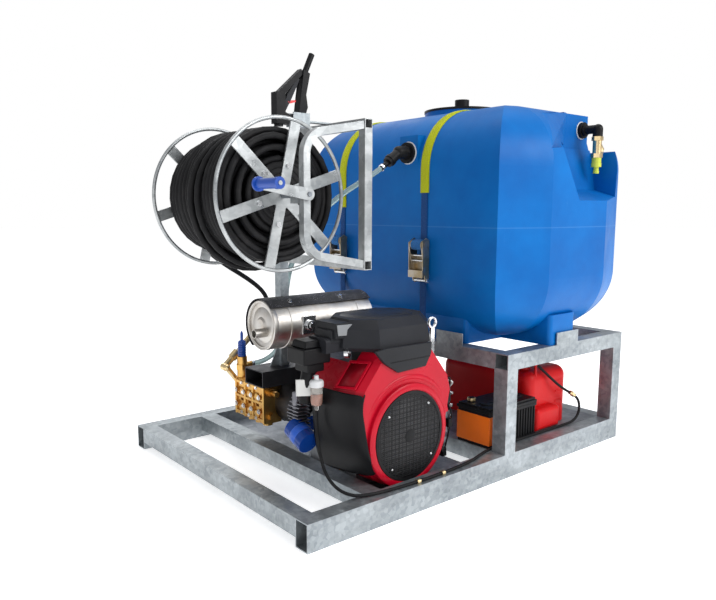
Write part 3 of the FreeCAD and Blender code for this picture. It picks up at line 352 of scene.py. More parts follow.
GASKET = plastic("gasket_white", (0.72, 0.73, 0.74), 0.08, 0.5)
BRASS = metal("pump_brass", (0.66, 0.40, 0.12), 0.2, 0.34, 110, 0.0009, 0.5, (0.55, 0.22, 0.05), 0.7)
FITTING = metal("fitting_brass", (0.80, 0.62, 0.34), 0.12, 0.3, 90, 0.0003, 0.3)
ALLOY = metal("cast_alloy", (0.60, 0.61, 0.63), 0.18, 0.46, 240, 0.0009, 0.6, (0.35, 0.35, 0.36), 0.5)
STEEL = metal("bright_steel", (0.72, 0.73, 0.74), 0.1, 0.22, 90, 0.0002, 0.2)
MUFFLER = metal("muffler_steel", (0.60, 0.58, 0.55), 0.14, 0.42, 60, 0.0006, 0.3, (0.42, 0.34, 0.25), 0.5)
BRONZE = metal("bronzed_zinc", (0.42, 0.33, 0.2), 0.3, 0.36, 120, 0.0005, 0.4, (0.55, 0.56, 0.58), 0.8)
IRON = metal("dark_iron", (0.06, 0.06, 0.065), 0.3, 0.5, 200, 0.0008, 0.5)
# Dark alloy: the regulator's own colour, and painted shade on the cylinder fins.
DARK_ALLOY_AND_FIN_SHADE = metal("dark_alloy_and_fin_shade", (0.20, 0.20, 0.22), 0.25, 0.5, 200, 0.0008, 0.5)
SHIELD = speckled("speckled_black")
SCREEN = fine_mesh("screen_mesh")
# Each webbing's second, darker colour is painted shade in the grooves of its weave.
WEB_BLUE = webbing("webbing_blue", (0.02, 0.13, 0.42), (0.006, 0.04, 0.17))
# A paler copy of the blue webbing: painted light on the wound strap roll.
WEBBING_PAINTED_LIGHT = webbing("webbing_painted_light", (0.05, 0.27, 0.68), (0.015, 0.10, 0.32))
WEB_YELLOW = webbing("webbing_yellow", (0.82, 0.85, 0.015), (0.45, 0.5, 0.01))
CLEAR = clear("clear_bowl", (0.92, 0.9, 0.86), 0.12)
FUEL = plastic("amber_fuel", (0.62, 0.22, 0.12), 0.1, 0.2)
CLEAR_HOSE = clear("clear_hose", (0.42, 0.56, 0.56), 0.25, 0.55)

NODE_MATERIALS = {
    "side_rails": GALV, "cross_tubes": GALV, "tray_plates": GALV_DARK, "stand_posts": GALV,
    # The reel beam takes the dark iron paint, darker than the galvanised frame: its own dark colour and, in
    # part, painted shade of the shadow it lies in.
    "stand_top_frame": GALV, "reel_beam": IRON, "reel_post": GALV, "cage_frame": GALV_BRIGHT,
    "bearing_brackets": GALV_BRIGHT, "gun_holder": GALV, "reel_shaft": GALV_DARK, "reel_rims": GALV_BRIGHT,
    "reel_spokes": GALV_BRIGHT, "spoke_bolts": STEEL, "reel_drum": RUBBER, "crank_arm": GALV_BRIGHT,
    "ratchet_frames": BRONZE, "ratchet_handle_front": BRONZE, "ratchet_handle_rear": BRONZE,
    "water_tank": TANK, "tank_lid": BLACK, "bulkhead_fittings": BLACK, "air_cleaner_base": CHARCOAL,
    "side_shroud": BLACK, "battery": BLACK, "can_cap": BLACK, "gun_body": BLACK,
    "air_cleaner_cover": CHARCOAL, "gun_trigger": CHARCOAL, "fan_shroud": RED, "fan_grille": BLACK,
    "heat_shield": SHIELD, "gearbox": IRON, "pump_crankcase": IRON, "starter_motor": IRON,
    "crankcase": ALLOY, "cylinders": ALLOY, "flywheel_fan": ALLOY, "muffler": MUFFLER,
    "crankshaft": STEEL, "pump_shaft": STEEL, "pump_head": BRASS, "pump_caps": BRASS, "unloader": BRASS,
    "hose_fittings": FITTING, "y_strainer": FITTING, "fuel_coupling": FITTING, "reel_swivel": FITTING,
    "oil_filter": FILTER, "unloader_knob": BLUE, "fuel_filter": GASKET, "fuel_can": CAN_RED,
    "quick_connector": LIME, "return_hose": CLEAR_HOSE, "feed_hose": RUBBER, "fuel_hose": RUBBER,
    "hose_coil": RUBBER, "tank_straps": WEB_BLUE, "crank_handle": BLUE, "gun_latch": LATCH,
}


def dress_nodes():
    """The CAD nodes keep their meshes and take the detailed materials."""
    for name, material in NODE_MATERIALS.items():
        mesh = NODES[name].data
        mesh.materials.clear()
        mesh.materials.append(material)


dress_nodes()


# ---- cords -------------------------------------------------------------------------------------

FEED_ROUTE = [(88, 690, 817), (88, 690, 776), (97, 694, 736), (120, 698, 701), (157, 702, 670),
              (200, 703, 641), (245, 702, 614), (288, 700, 586), (326, 699, 556), (350, 704, 527),
              (364, 715, 492), (363, 729, 457), (351, 740, 430), (327.5, 746, 407.4), (306, 746, 388)]
RETURN_ROUTE = [(608, 420, 951), (571, 424, 928), (528, 438, 902), (478, 458, 868), (428, 482, 822),
                (386, 506, 764), (357, 530, 701), (340, 550, 634), (337, 562, 584), (342, 576, 536),
                (354, 595, 491), (371, 618, 449), (386, 645, 408), (386, 666, 372), (374, 684, 341),
                (351, 697, 318), (319, 704, 306), (285, 704, 306)]
FUEL_ROUTE = [(180, 200, 276), (180, 200, 238), (174, 188, 198), (160, 156, 158), (148, 118, 126),
              (150, 76, 101), (176, 46, 85), (216, 33, 80.5), (270, 24, 80), (340, 17, 80), (440, 15, 80),
              (540, 18, 80), (628, 27, 80), (698, 48, 80), (758, 59.5, 80), (834, 60.5, 80),
              (930, 58.5, 80), (1030, 58, 80), (1110, 57, 80), (1162, 56, 80.3), (1202, 55, 83),
              (1232, 56, 97), (1246, 58, 123), (1240, 60, 151), (1218, 62, 172), (1188, 66, 188),
              (1156, 72, 206), (1124, 82, 231), (1092, 96, 262), (1058.2, 110.4, 295)]


def nurbs(name, points, radius, material):
    """A round hose along a smooth spline through the route's control points."""
    data = bpy.data.curves.new(name, "CURVE")
    data.dimensions = "3D"
    spline = data.splines.new("NURBS")
    spline.points.add(len(points) - 1)
    for point, place in zip(spline.points, points):
        point.co = (*place, 1)
    spline.order_u = 3
    spline.use_endpoint_u = True
    spline.resolution_u = 8
    data.bevel_depth = radius
    data.bevel_resolution = 4
    data.use_fill_caps = True
    data.materials.append(material)
    made = bpy.data.objects.new(name, data)
    bpy.context.scene.collection.objects.link(made)
    return made


def make_hose(name, node, route, diameter, material):
    points = [P(*point) for point in route]
    hose = nurbs(name, points, diameter / 2000, material)
    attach(hose, "skid")
    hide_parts(node)


REEL = (88, 857)
HOSE, LAYER = 16.5, 15
DRUM, DRUM_FACE = 84, 220.5
FRONT_TURN, REAR_TURN, OUTER_END = 233.5, 546, 452
PER_TURN = 16
HIDDEN_LAYERS, HIDDEN_TURNS, FULL_TURNS = 4, 8, 19
SNUG, UNEVEN = 0.995, 0.8


def winding_stretches():
    """(layer, turns, first y, last y, slack) of each stretch. Hidden layers have fewer turns than fit."""
    for layer in range(HIDDEN_LAYERS):
        ends = (FRONT_TURN, REAR_TURN) if layer % 2 == 0 else (REAR_TURN, FRONT_TURN)
        yield (layer, HIDDEN_TURNS, *ends, 0)
    yield (HIDDEN_LAYERS, FULL_TURNS, FRONT_TURN, REAR_TURN, 0)
    outer = HIDDEN_LAYERS + 1
    yield (outer, 3, OUTER_END, 394, 0)
    yield (outer, 1, 394, 376, 4)
    yield (outer, 1, 376, 348, 15)
    yield (outer, 1, 348, 322, 10)
    yield (outer, 5, 322, FRONT_TURN, 0)


def winding_points():
    """The wound hose's control points. Slack lowers a turn's middle by as much as it widens the turn."""
    points = []
    for layer, turns, first, last, slack in winding_stretches():
        radius = (DRUM + HOSE / 2 + LAYER * layer + slack) / math.cos(math.pi / PER_TURN) * SNUG
        held = 1.2 if turns == HIDDEN_TURNS else 0
        for step in range(turns * PER_TURN):
            turn = step / PER_TURN
            part = max(0, turn - held) / (turns - held)
            angle = 2 * math.pi * (turn + 0.25)
            reach = radius + random.uniform(-UNEVEN, UNEVEN) * (layer >= HIDDEN_LAYERS)
            points.append(P(REEL[0] + reach * math.cos(angle), first + (last - first) * part,
                            REEL[1] - slack + reach * math.sin(angle)))
    return points


def make_winding():
    random.seed(7)
    points = winding_points()
    hose = nurbs("pressure_hose", points, HOSE / 2000, RUBBER)
    hose.data.splines[0].resolution_u = 2
    hose.data.bevel_resolution = 3
    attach(hose, "reel")
    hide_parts("hose_coil")


make_hose("feed_hose_piece", "feed_hose", FEED_ROUTE, 15, RUBBER)
make_hose("return_hose_piece", "return_hose", RETURN_ROUTE, 17, CLEAR_HOSE)
make_hose("fuel_hose_piece", "fuel_hose", FUEL_ROUTE, 9, RUBBER)
make_winding()


# ---- mesh tools ----------------------------------------------------------------------------------

FRONT, LEFT = (0, -1, 0), (-1, 0, 0)


def axes(origin, axis, across=None):
    """A matrix for millimetre shapes whose z runs along an axis from a point of the skid."""
    z = Vector(axis).normalized()
    x = Vector(across) if across else (Z if abs(z.z) < 0.9 else X)
    x = (x - z * x.dot(z)).normalized()
    turn = Matrix((x, z.cross(x), z)).transposed().to_4x4()
    return Matrix.Translation(P(*origin)) @ turn @ Matrix.Scale(0.001, 4)


def lathe(bm, matrix, profile, segments=40):
    """A turned shape from (radius, distance) pairs along the matrix's z."""
    rings = []
    for radius, along in profile:
        count = segments if radius else 1
        rings.append([bm.verts.new(matrix @ Vector((radius * math.cos(2 * math.pi * i / segments),
                                                    radius * math.sin(2 * math.pi * i / segments), along)))
                      for i in range(count)])
    for low, high in zip(rings[:-1], rings[1:]):
        for i in range(segments):
            j = i + 1
            corners = [low[i % len(low)], low[j % len(low)], high[j % len(high)], high[i % len(high)]]
            bm.faces.new(dict.fromkeys(corners))


def prism(bm, matrix, outline, depth, taper=0.0):
    """An outline in the matrix's x and y, carried along z, shrunk at the far end by a taper."""
    middle = sum((Vector(p) for p in outline), Vector((0, 0))) / len(outline)
    far = [Vector(p) + (middle - Vector(p)) * taper for p in outline]
    low = [bm.verts.new(matrix @ Vector((*p, 0))) for p in outline]
    high = [bm.verts.new(matrix @ Vector((*p, depth))) for p in far]
    bm.faces.new(low[::-1])
    bm.faces.new(high)
    for i in range(len(low)):
        j = (i + 1) % len(low)
        bm.faces.new((low[i], low[j], high[j], high[i]))


def block(bm, x, y, z, taper=0.0):
    """A block between two heights z, tapered towards the top."""
    outline = [(x[0], y[0]), (x[1], y[0]), (x[1], y[1]), (x[0], y[1])]
    prism(bm, axes((0, 0, z[0]), Z, X), outline, z[1] - z[0], taper)


def bridge(bm, rows, closed=False):
    """Faces between neighbouring rows of vertices. A closed row also joins its last vertex to its first."""
    for a, b in zip(rows[:-1], rows[1:]):
        for i in range(len(a) if closed else len(a) - 1):
            j = (i + 1) % len(a)
            bm.faces.new((a[i], a[j], b[j], b[i]))


def polygon(radius, sides):
    angles = [2 * math.pi * k / sides for k in range(sides)]
    return [(radius * math.cos(a), radius * math.sin(a)) for a in angles]


def collar(bm, matrix, inner, outer, low, high):
    """A plain ring between two distances along the matrix's z."""
    lathe(bm, matrix, [(inner, low), (outer, low), (outer, high), (inner, high), (inner, low)], 28)


def bolt(bm, place, axis, across, high=0.0):
    """A hexagon bolt head on its washer."""
    high = high or across * 0.55
    matrix = axes(place, axis)
    lathe(bm, matrix, [(0, 0), (across * 0.62, 0), (across * 0.62, across * 0.1), (0, across * 0.1)], 20)
    prism(bm, matrix, polygon(across * 0.5, 6), high, 0.06)


def piece(name, bm, material, body="skid", bevel=0.8, smooth=True):
    """Closes a mesh into a finished piece that rides on a body, with softened edges."""
    bmesh.ops.recalc_face_normals(bm, faces=bm.faces)
    for face in bm.faces:
        face.smooth = smooth
    mesh = bpy.data.meshes.new(name)
    bm.to_mesh(mesh)
    bm.free()
    made = bpy.data.objects.new(name, mesh)
    bpy.context.scene.collection.objects.link(made)
    mesh.materials.append(material)
    if bevel:
        soft = made.modifiers.new("soft edges", "BEVEL")
        soft.width = bevel / 1000
        soft.segments = 2
        soft.limit_method = "ANGLE"
        soft.angle_limit = math.radians(35)
        soft.harden_normals = True
    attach(made, body)
    return made


# ---- reel ----------------------------------------------------------------------------------------

def make_drum_face():
    """A ridged disc on the drum's near end that stands in for the innermost turns of hose."""
    bm = bmesh.new()
    profile = [(0, 0.5), (34, 0.5)]
    for ring in range(3):
        for step in range(7):
            angle = math.pi * (1 - step / 6)
            profile.append((46.5 + LAYER * ring + 7.4 * math.cos(angle), 0.4 + 3.4 * math.sin(angle)))
    profile += [(DRUM, 0.2), (DRUM, 0)]
    lathe(bm, axes((REEL[0], DRUM_FACE, REEL[1]), FRONT), profile, 72)
    piece("drum_face", bm, RUBBER, "reel", bevel=0)


# ---- tank straps ---------------------------------------------------------------------------------

TANK_LOW, TANK_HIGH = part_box("water_tank")
STRAP_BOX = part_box("tank_straps")
TANK_FACE = 735
STRAP_ROUND = 0.2
WEBBING, SLEEVE = (0.028, 0.0022), (0.037, 0.0042)  # width and thickness, in metres


def strap_path(offset, low):
    """Points and outward directions up one side of the tank, over it and down, in x and z."""
    left, right = TANK_LOW.x - offset, TANK_HIGH.x + offset
    top = STRAP_BOX[1].z - 0.0031 + offset
    radius = STRAP_ROUND + offset
    path = []
    for step in range(24):
        path.append((left, low + (top - radius - low) * step / 24, Vector(LEFT)))
    for step in range(13):
        angle = math.pi - math.pi / 2 * step / 12
        way = Vector((math.cos(angle), 0, math.sin(angle)))
        path.append((left + radius + radius * way.x, top - radius + radius * way.z, way))
    for step in range(1, 12):
        path.append((left + radius + (right - left - 2 * radius) * step / 12, top, Vector((0, 0, 1))))
    for step in range(13):
        angle = math.pi / 2 - math.pi / 2 * step / 12
        way = Vector((math.cos(angle), 0, math.sin(angle)))
        path.append((right - radius + radius * way.x, top - radius + radius * way.z, way))
    for step in range(1, 25):
        path.append((right, top - radius + (low - top + radius) * step / 24, Vector((1, 0, 0))))
    return path


def band(name, row, width, thick, path, material):
    """A flat band with a slightly crowned outer face, swept along the path at one y."""
    bm = bmesh.new()
    columns = 6
    rings = []
    for x, z, way in path:
        centre = Vector((x, P(0, row, 0).y, z))
        points = [centre - Y * width / 2]
        for k in range(columns + 1):
            crown = 1 - 0.35 * abs(2 * k / columns - 1) ** 3
            points.append(centre + Y * width * (k / columns - 0.5) + way * thick * crown)
        points.append(centre + Y * width / 2)
        rings.append([bm.verts.new(p) for p in points])
    bridge(bm, rings, closed=True)
    for end in (rings[0][::-1], rings[-1]):
        bm.faces.new(end)
    return piece(name, bm, material, bevel=0)


def make_straps():
    """Each ratchet strap is blue webbing in a yellow sleeve over the top of the tank."""
    low = STRAP_BOX[0].z
    for name, row, sleeve_end in (("front", 342, 0.875), ("rear", 763, 0.83)):
        webbing_piece = band("strap_webbing_" + name, row, *WEBBING, strap_path(0.0008, low), WEB_BLUE)
        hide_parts("tank_straps")
        band("strap_sleeve_" + name, row, *SLEEVE, strap_path(0.0004, sleeve_end), WEB_YELLOW)
        roll = bmesh.new()
        spindle = (TANK_FACE - 26.1, row - 21, 707)
        lathe(roll, axes(spindle, Y), [(9, 0), (17, 0.5), (17.6, 3), (17.6, 39), (17, 41.5), (9, 42)], 32)
        # The roll is the same blue webbing in a paler copy: painted light on its rounded face.
        piece("strap_roll_" + name, roll, WEBBING_PAINTED_LIGHT, bevel=0.3)
        bars = bmesh.new()
        lathe(bars, axes((TANK_FACE - 13, row - 32, 590), Y), [(0, 0), (6, 0), (6, 64), (0, 64)], 20)
        for z in (655, 672):
            prism(bars, axes((TANK_FACE - 20, row - 27, z), Y, X), [(-9, -2), (9, -2), (9, 2), (-9, 2)], 54)
        piece("ratchet_bars_" + name, bars, STEEL)


# ---- engine pieces -------------------------------------------------------------------------------

ENGINE_X, SHAFT_Z = 404, 195
SLOPE = Vector((-0.74, 0, 0.673)).normalized()
SLOPE_UP = Vector((0.673, 0, 0.74)).normalized()


def make_shroud_pieces():
    """The raised ring and ridge round the screen, and the recess on the upper left."""
    ring = bmesh.new()
    profile = [(132, 2), (142, 2), (148, -1), (149, -10), (131, -10), (131, 1), (132, 2)]
    lathe(ring, axes((ENGINE_X, 64, SHAFT_Z), FRONT), profile, 96)
    piece("shroud_ring", ring, RED, bevel=0.6)
    ridge = bmesh.new()
    steps = 48
    rows = []
    for step in range(steps + 1):
        angle = math.radians(12 + 156 * step / steps)
        fade = math.sin(math.pi * step / steps) ** 0.5
        section = []
        for k in range(9):
            turn = math.pi * k / 8
            radius = 166 + 9 * math.cos(turn)
            place = P(ENGINE_X + radius * math.cos(angle), 78 - 7 * fade * math.sin(turn),
                      SHAFT_Z + radius * math.sin(angle))
            section.append(ridge.verts.new(place))
        rows.append(section)
    bridge(ridge, rows)
    piece("shroud_ridge", ridge, RED, bevel=0)

    rim = bmesh.new()
    matrix = axes((250, 138, 369), SLOPE, SLOPE_UP)
    outer = [(62, -40), (50, 42), (-42, 38), (-30, -44)]
    inner = [(52, -31), (42, 33), (-33, 29), (-23, -35)]
    for a, b, c, d in zip(outer, outer[1:] + outer[:1], inner[1:] + inner[:1], inner):
        prism(rim, matrix, [a, b, c, d], 3.5)
    piece("shroud_recess_rim", rim, RED, bevel=1.2)
    # The recess floor is a flat plate in darker red inside the raised rim: painted shade in the recess.
    floor = bmesh.new()
    prism(floor, matrix, inner, 0.8)
    piece("shroud_recess", floor, DARK_RED_AND_RECESS_SHADE, bevel=0)


def make_side_panel():
    """The black guide wrapped round the lower left edge of the fan shroud."""
    sections = [(338, 240, 216, 206, 206), (300, 228, 204, 196, 196), (255, 238, 213, 199, 196),
                (205, 247, 221, 205, 200), (160, 256, 230, 213, 206), (104, 292, 262, 236, 222)]
    depths = (66, 88, 165, 240)
    bm = bmesh.new()
    rows = [[bm.verts.new(P(x, y, z)) for x, y in zip(across, depths)] for z, *across in sections]
    bridge(bm, rows)
    made = piece("side_panel", bm, BLACK_SATIN, bevel=0)
    smooth = made.modifiers.new("smooth", "SUBSURF")
    smooth.levels = smooth.render_levels = 3
    skin = made.modifiers.new("skin", "SOLIDIFY")
    skin.thickness = 0.003
    rim = bmesh.new()
    for (z0, x0, *_), (z1, x1, *_) in zip(sections[:-1], sections[1:]):
        start = Vector((x0 + 1, 70.5, z0))
        way = Vector((x1 + 1, 70.5, z1)) - start
        lathe(rim, axes(start, way), [(0, 0), (2.2, 0), (2.2, way.length), (0, way.length)], 12)
    piece("side_panel_lip", rim, BLACK, bevel=0)


def make_screen():
    """The round screen's bolts, its middle boss and the fine mesh behind it."""
    bolts = bmesh.new()
    for angle in (50, 140, 230, 320):
        a = math.radians(angle)
        bolt(bolts, (ENGINE_X + 108 * math.cos(a), 62, SHAFT_Z + 108 * math.sin(a)), FRONT, 5)
    piece("screen_bolts", bolts, STEEL, bevel=0.4)
    boss = bmesh.new()
    button = [(0, 1.5), (17, 1.5), (19, 0.5), (19, 0), (0, 0)]
    lathe(boss, axes((ENGINE_X, 63, SHAFT_Z), FRONT), button, 40)
    piece("screen_boss", boss, BLACK, bevel=0.4)
    mesh = bmesh.new()
    disc = [(0, 0.8), (40, 0.8), (119.5, 0.8), (119.5, 0)]
    lathe(mesh, axes((ENGINE_X, 64.2, SHAFT_Z), FRONT), disc, 64)
    piece("screen_mesh", mesh, SCREEN, bevel=0)


def make_air_cleaner():
    """The blank front plate under the cover, the cover's raised top and the snorkel."""
    plate = bmesh.new()
    outline = [(-132, 2), (-94, 8), (86, 6), (84, -26), (62, -62), (-46, -66), (-98, -34)]
    prism(plate, axes((ENGINE_X, 73.5, 446), FRONT, X), outline, 9, 0.03)
    piece("air_cleaner_plate", plate, CHARCOAL_SMOOTH, bevel=2.0)
    # The groove is a thin black strip laid on the plate: painted shade of a groove.
    groove_shade = bmesh.new()
    line = [(-76, -1.5), (76, -1.5), (76, 1.5), (-76, 1.5)]
    prism(groove_shade, axes((ENGINE_X, 64.8, 412), FRONT, X), line, 1.2)
    piece("plate_groove_shade", groove_shade, BLACK, bevel=0.4)
    top = bmesh.new()
    half_front, half_wide = 66, 112
    outline = [(-half_front, -76), (half_front, -76), (half_wide, -34), (half_wide, 38), (half_front, 74),
               (-half_front, 74), (-half_wide, 38), (-half_wide, -34)]
    prism(top, axes((ENGINE_X, 206, 523.5), Z, X), outline, 3, 0.05)
    piece("air_cleaner_top", top, CHARCOAL_SMOOTH, bevel=1.2)
    vent = bmesh.new()
    prism(vent, axes((262, 157, 498), FRONT, X), [(-42, -13), (40, -17), (36, 15), (-46, 17)], 3, 0.04)
    piece("snorkel_face", vent, GREY, bevel=1.0)
    snorkel = bmesh.new()
    block(snorkel, (214, 312), (158, 256), (476, 518), 0.06)
    block(snorkel, (206, 250), (168, 246), (462, 500), 0.1)
    piece("snorkel_mouth", snorkel, CHARCOAL_SMOOTH, bevel=3.0)


def make_intake_parts():
    """The chamfered box under the snorkel, its duct, the blank plate and the clamp."""
    box = bmesh.new()
    block(box, (132, 222), (190, 270), (408, 452))
    block(box, (140, 214), (196, 264), (452, 472), 0.14)
    block(box, (152, 208), (200, 262), (384, 408))
    piece("intake_box", box, BLACK_SATIN, bevel=4.0)
    duct = bmesh.new()
    path = [Vector(p) for p in ((170, 226, 388), (164, 226, 360), (160, 228, 330), (164, 232, 300))]
    for a, b in zip(path[:-1], path[1:]):
        far = (b - a).length + 2
        lathe(duct, axes(a, b - a), [(0, -2), (17, -2), (17, far), (0, far)], 28)
    piece("intake_duct", duct, BLACK, bevel=1.5)
    guard = bmesh.new()
    outline = [(-34, -20), (34, -26), (36, 20), (-32, 26)]
    prism(guard, axes((160, 214, 342), (-0.35, -0.93, 0.1), X), outline, 4, 0.05)
    piece("blank_plate", guard, LABEL, bevel=0.8)
    clamp = bmesh.new()
    collar(clamp, axes((262, 168, 432), (0.5, -0.8, 0.1)), 10, 14, -6, 6)
    piece("hose_clamp", clamp, STEEL, bevel=0.4)


def make_cylinder_fins():
    """Fins and an upright tube, seen between the pump and the oil filter."""
    fins = bmesh.new()
    for index in range(9):
        reach = 20 + 16 * math.sin(math.pi * index / 8)
        z = 196 + 10 * index
        block(fins, (222 - reach, 232), (298, 352), (z, z + 3.2))
    lathe(fins, axes((204, 330, 180), Z), [(0, 0), (11, 0), (11, 118), (0, 118)], 24)
    # The fins take a dark alloy, much darker than the cylinders' cast alloy: painted shade between the pump
    # and the oil filter.
    piece("cylinder_fins", fins, DARK_ALLOY_AND_FIN_SHADE, bevel=0.8)


FUEL_FILTER, BOWL_TOP = (180, 200), 344


def make_filters():
    """The clear fuel bowl with its white cap, and the ridged oil filter."""
    cap = bmesh.new()
    dome = [(0, 0), (18, 0), (20, 2), (20, 15), (17, 19), (7, 20), (6, 32), (0, 32)]
    lathe(cap, axes((*FUEL_FILTER, BOWL_TOP), Z), dome, 36)
    piece("fuel_filter_cap", cap, GASKET, bevel=0.6)
    bowl = bmesh.new()
    cup = [(17, 0), (16.5, 40), (14, 50), (6, 54), (5, 66), (0, 66)]
    lathe(bowl, axes((*FUEL_FILTER, BOWL_TOP), (0, 0, -1)), cup, 36)
    made = piece("fuel_filter_bowl", bowl, CLEAR, bevel=0.4)
    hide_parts("fuel_filter")
    fuel = bmesh.new()
    filling = [(0, 0), (15.2, 0), (15, 20), (12, 29), (0, 31)]
    lathe(fuel, axes((*FUEL_FILTER, BOWL_TOP - 20), (0, 0, -1)), filling, 36)
    piece("fuel_in_bowl", fuel, FUEL, bevel=0)
    way = Vector((0, -0.92, -0.39)).normalized()
    end = Vector((196, 330, 196)) + way * 78
    flutes = bmesh.new()
    matrix = axes(end - way * 17, way)
    for index in range(15):
        turn = Matrix.Rotation(2 * math.pi * index / 15, 4, "Z")
        prism(flutes, matrix @ turn, [(30, -3.4), (33.6, -3.4), (33.6, 3.4), (30, 3.4)], 15, 0.02)
    piece("oil_filter_flutes", flutes, FILTER, bevel=0.8)
    label = bmesh.new()
    lathe(label, axes(end - way * 52, way), [(33.1, 0), (33.5, 0.5), (33.5, 25), (33.1, 25.5)], 48)
    piece("oil_filter_band", label, FILTER_PALE, bevel=0)


MUFFLER_AXIS = (400, 492)


def make_muffler():
    """The muffler's dished end, seams, speckled shield with its bolts, and front bracket."""
    end = bmesh.new()
    dish = [(72, -14), (73, -12), (73, 0), (70, 2), (66, 1), (64, -5), (52, -7), (44, -3), (24, -2), (18, 3),
            (0, 3)]
    lathe(end, axes((133, *MUFFLER_AXIS), LEFT), dish, 64)
    piece("muffler_end", end, MUFFLER, bevel=0.5)
    bands = bmesh.new()
    for x in (190, 440):
        lathe(bands, axes((x, *MUFFLER_AXIS), X), [(72, 0), (73.6, 0.5), (73.6, 9), (72, 9.5)], 64)
    piece("muffler_seams", bands, MUFFLER, bevel=0.3)
    shield = bmesh.new()
    steps = 28
    rows = []
    for step in range(steps + 1):
        angle = math.radians(46 + 190 * step / steps)
        way = Vector((0, -math.cos(angle), math.sin(angle)))
        rows.append([shield.verts.new(P(*(Vector((x, *MUFFLER_AXIS)) + way * radius)))
                     for x, radius in ((129, 75.5), (129, 78), (502, 78), (502, 75.5))])
    bridge(shield, rows, closed=True)
    for end in (rows[0], rows[-1]):
        shield.faces.new(end)
    made = piece("muffler_shield", shield, SHIELD, bevel=0.5)
    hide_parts("heat_shield")
    bracket = bmesh.new()
    matrix = axes((252, 329, 490), FRONT, X)
    prism(bracket, matrix, [(-26, -26), (26, -26), (22, 28), (-24, 28)], 4, 0.03)
    lathe(bracket, matrix, [(0, 4), (15, 4), (15, 12), (8, 13), (8, 17), (0, 17)], 32)
    piece("muffler_bracket", bracket, STEEL, bevel=0.8)
    bolts = bmesh.new()
    for x in (206, 392):
        out = Vector((0, -0.5, 0.866))
        bolt(bolts, Vector((x, *MUFFLER_AXIS)) + out * 78, out, 12)
    piece("shield_bolts", bolts, STEEL, bevel=0.5)


def make_wiring():
    """The control bracket, regulator, plugs and wiring down the right side of the engine."""
    bracket = bmesh.new()
    block(bracket, (582, 588), (104, 176), (96, 296))
    block(bracket, (586, 626), (116, 120), (238, 292))
    piece("control_bracket", bracket, IRON, bevel=1.0)
    body = bmesh.new()
    block(body, (588, 612), (112, 168), (150, 222), 0.08)
    for index in range(5):
        block(body, (608, 624), (116 + 10 * index, 120 + 10 * index), (154, 216))
    lathe(body, axes((588, 136, 120), X), [(0, 0), (20, 0), (20, 22), (13, 26), (13, 36), (0, 36)], 28)
    piece("regulator", body, DARK_ALLOY_AND_FIN_SHADE, bevel=1.0)
    plugs = bmesh.new()
    for x, y, z in ((606, 112, 262), (616, 132, 248), (604, 122, 88), (618, 150, 236), (612, 108, 182)):
        block(plugs, (x - 9, x + 9), (y - 9, y + 9), (z - 13, z + 13), 0.1)
    piece("wiring_plugs", plugs, BLACK_SATIN, bevel=1.5)
    bolts = bmesh.new()
    for z in (198, 232, 270):
        bolt(bolts, (626, 114, z), (0.3, -0.9, 0), 10)
    piece("control_bolts", bolts, STEEL, bevel=0.4)
    paths = ((((596, 128, 296), (618, 112, 330), (628, 120, 296), (616, 118, 258)), BLACK),
             (((588, 140, 306), (628, 120, 312), (652, 126, 290), (634, 160, 262)), LABEL),
             (((604, 112, 250), (628, 106, 214), (622, 112, 160), (606, 118, 92)), BLACK),
             (((598, 150, 240), (640, 134, 206), (634, 140, 140), (594, 160, 112)), DARK_RED_AND_RECESS_SHADE),
             (((612, 128, 246), (646, 130, 220), (640, 150, 176), (600, 150, 150)), BLACK))
    for index, (path, material) in enumerate(paths):
        wire = nurbs(f"engine_wire_{index}", [P(*point) for point in path], 0.0028, material)
        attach(wire, "skid")


def make_lifting_eye():
    """A ring on a flat stem beside the air cleaner."""
    eye = bmesh.new()
    count, small = 28, 10
    rings = []
    for i in range(count):
        a = 2 * math.pi * i / count
        ring = []
        for k in range(small):
            b = 2 * math.pi * k / small
            reach = 15 + 4.5 * math.cos(b)
            place = P(600 + reach * math.cos(a), 172 + 4.5 * math.sin(b), 482 + reach * math.sin(a))
            ring.append(eye.verts.new(place))
        rings.append(ring)
    bridge(eye, rings + rings[:1], closed=True)
    block(eye, (592, 608), (168, 176), (340, 470))
    piece("lifting_eye", eye, STEEL, bevel=0.8)


# ---- pump ------------------------------------------------------------------------------------------

def make_pump():
    """Ribs, bosses and bolts on the brass head, and the unloader's ribbed blue cap."""
    ribs = bmesh.new()
    for y in (542, 604, 651, 707):
        block(ribs, (224, 231), (y - 5, y + 5), (146, 265))
    for z in (150, 205, 252):
        block(ribs, (225, 231), (545, 711), (z, z + 10))
    for y in (571, 615, 659):
        for z in (170, 226):
            lathe(ribs, axes((231, y + 10, z), LEFT), [(0, 0), (15, 0), (13, 6), (8, 7), (0, 7)], 24)
        block(ribs, (234, 290), (y - 16, y + 16), (266, 272), 0.1)
    piece("pump_ribs", ribs, BRASS, bevel=2.2)
    studs = bmesh.new()
    for y in (558, 604.5, 651.5, 698):
        for z in (183, 229):
            bolt(studs, (220.5, y, z), LEFT, 13, 5)
    for y in (581, 625, 669):
        for z in (158, 256):
            bolt(studs, (224.5, y, z), LEFT, 9, 4)
    piece("pump_studs", studs, STEEL, bevel=0.5)
    cap = bmesh.new()
    profile = [(0, 0), (13, 0)]
    for index in range(6):
        low = 2 + 8 * index
        profile += [(14.2, low), (14.2, low + 4.5), (12.2, low + 5.5), (12.2, low + 7)]
    profile += [(11, 52), (7, 54), (5, 55), (5, 76), (3, 84), (0, 86)]
    lathe(cap, axes((250, 704, 336.4), Z), profile, 32)
    made = piece("unloader_cap", cap, BLUE, "pressure_knob", bevel=0.4)
    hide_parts("unloader_knob")


# ---- battery and fuel can --------------------------------------------------------------------------

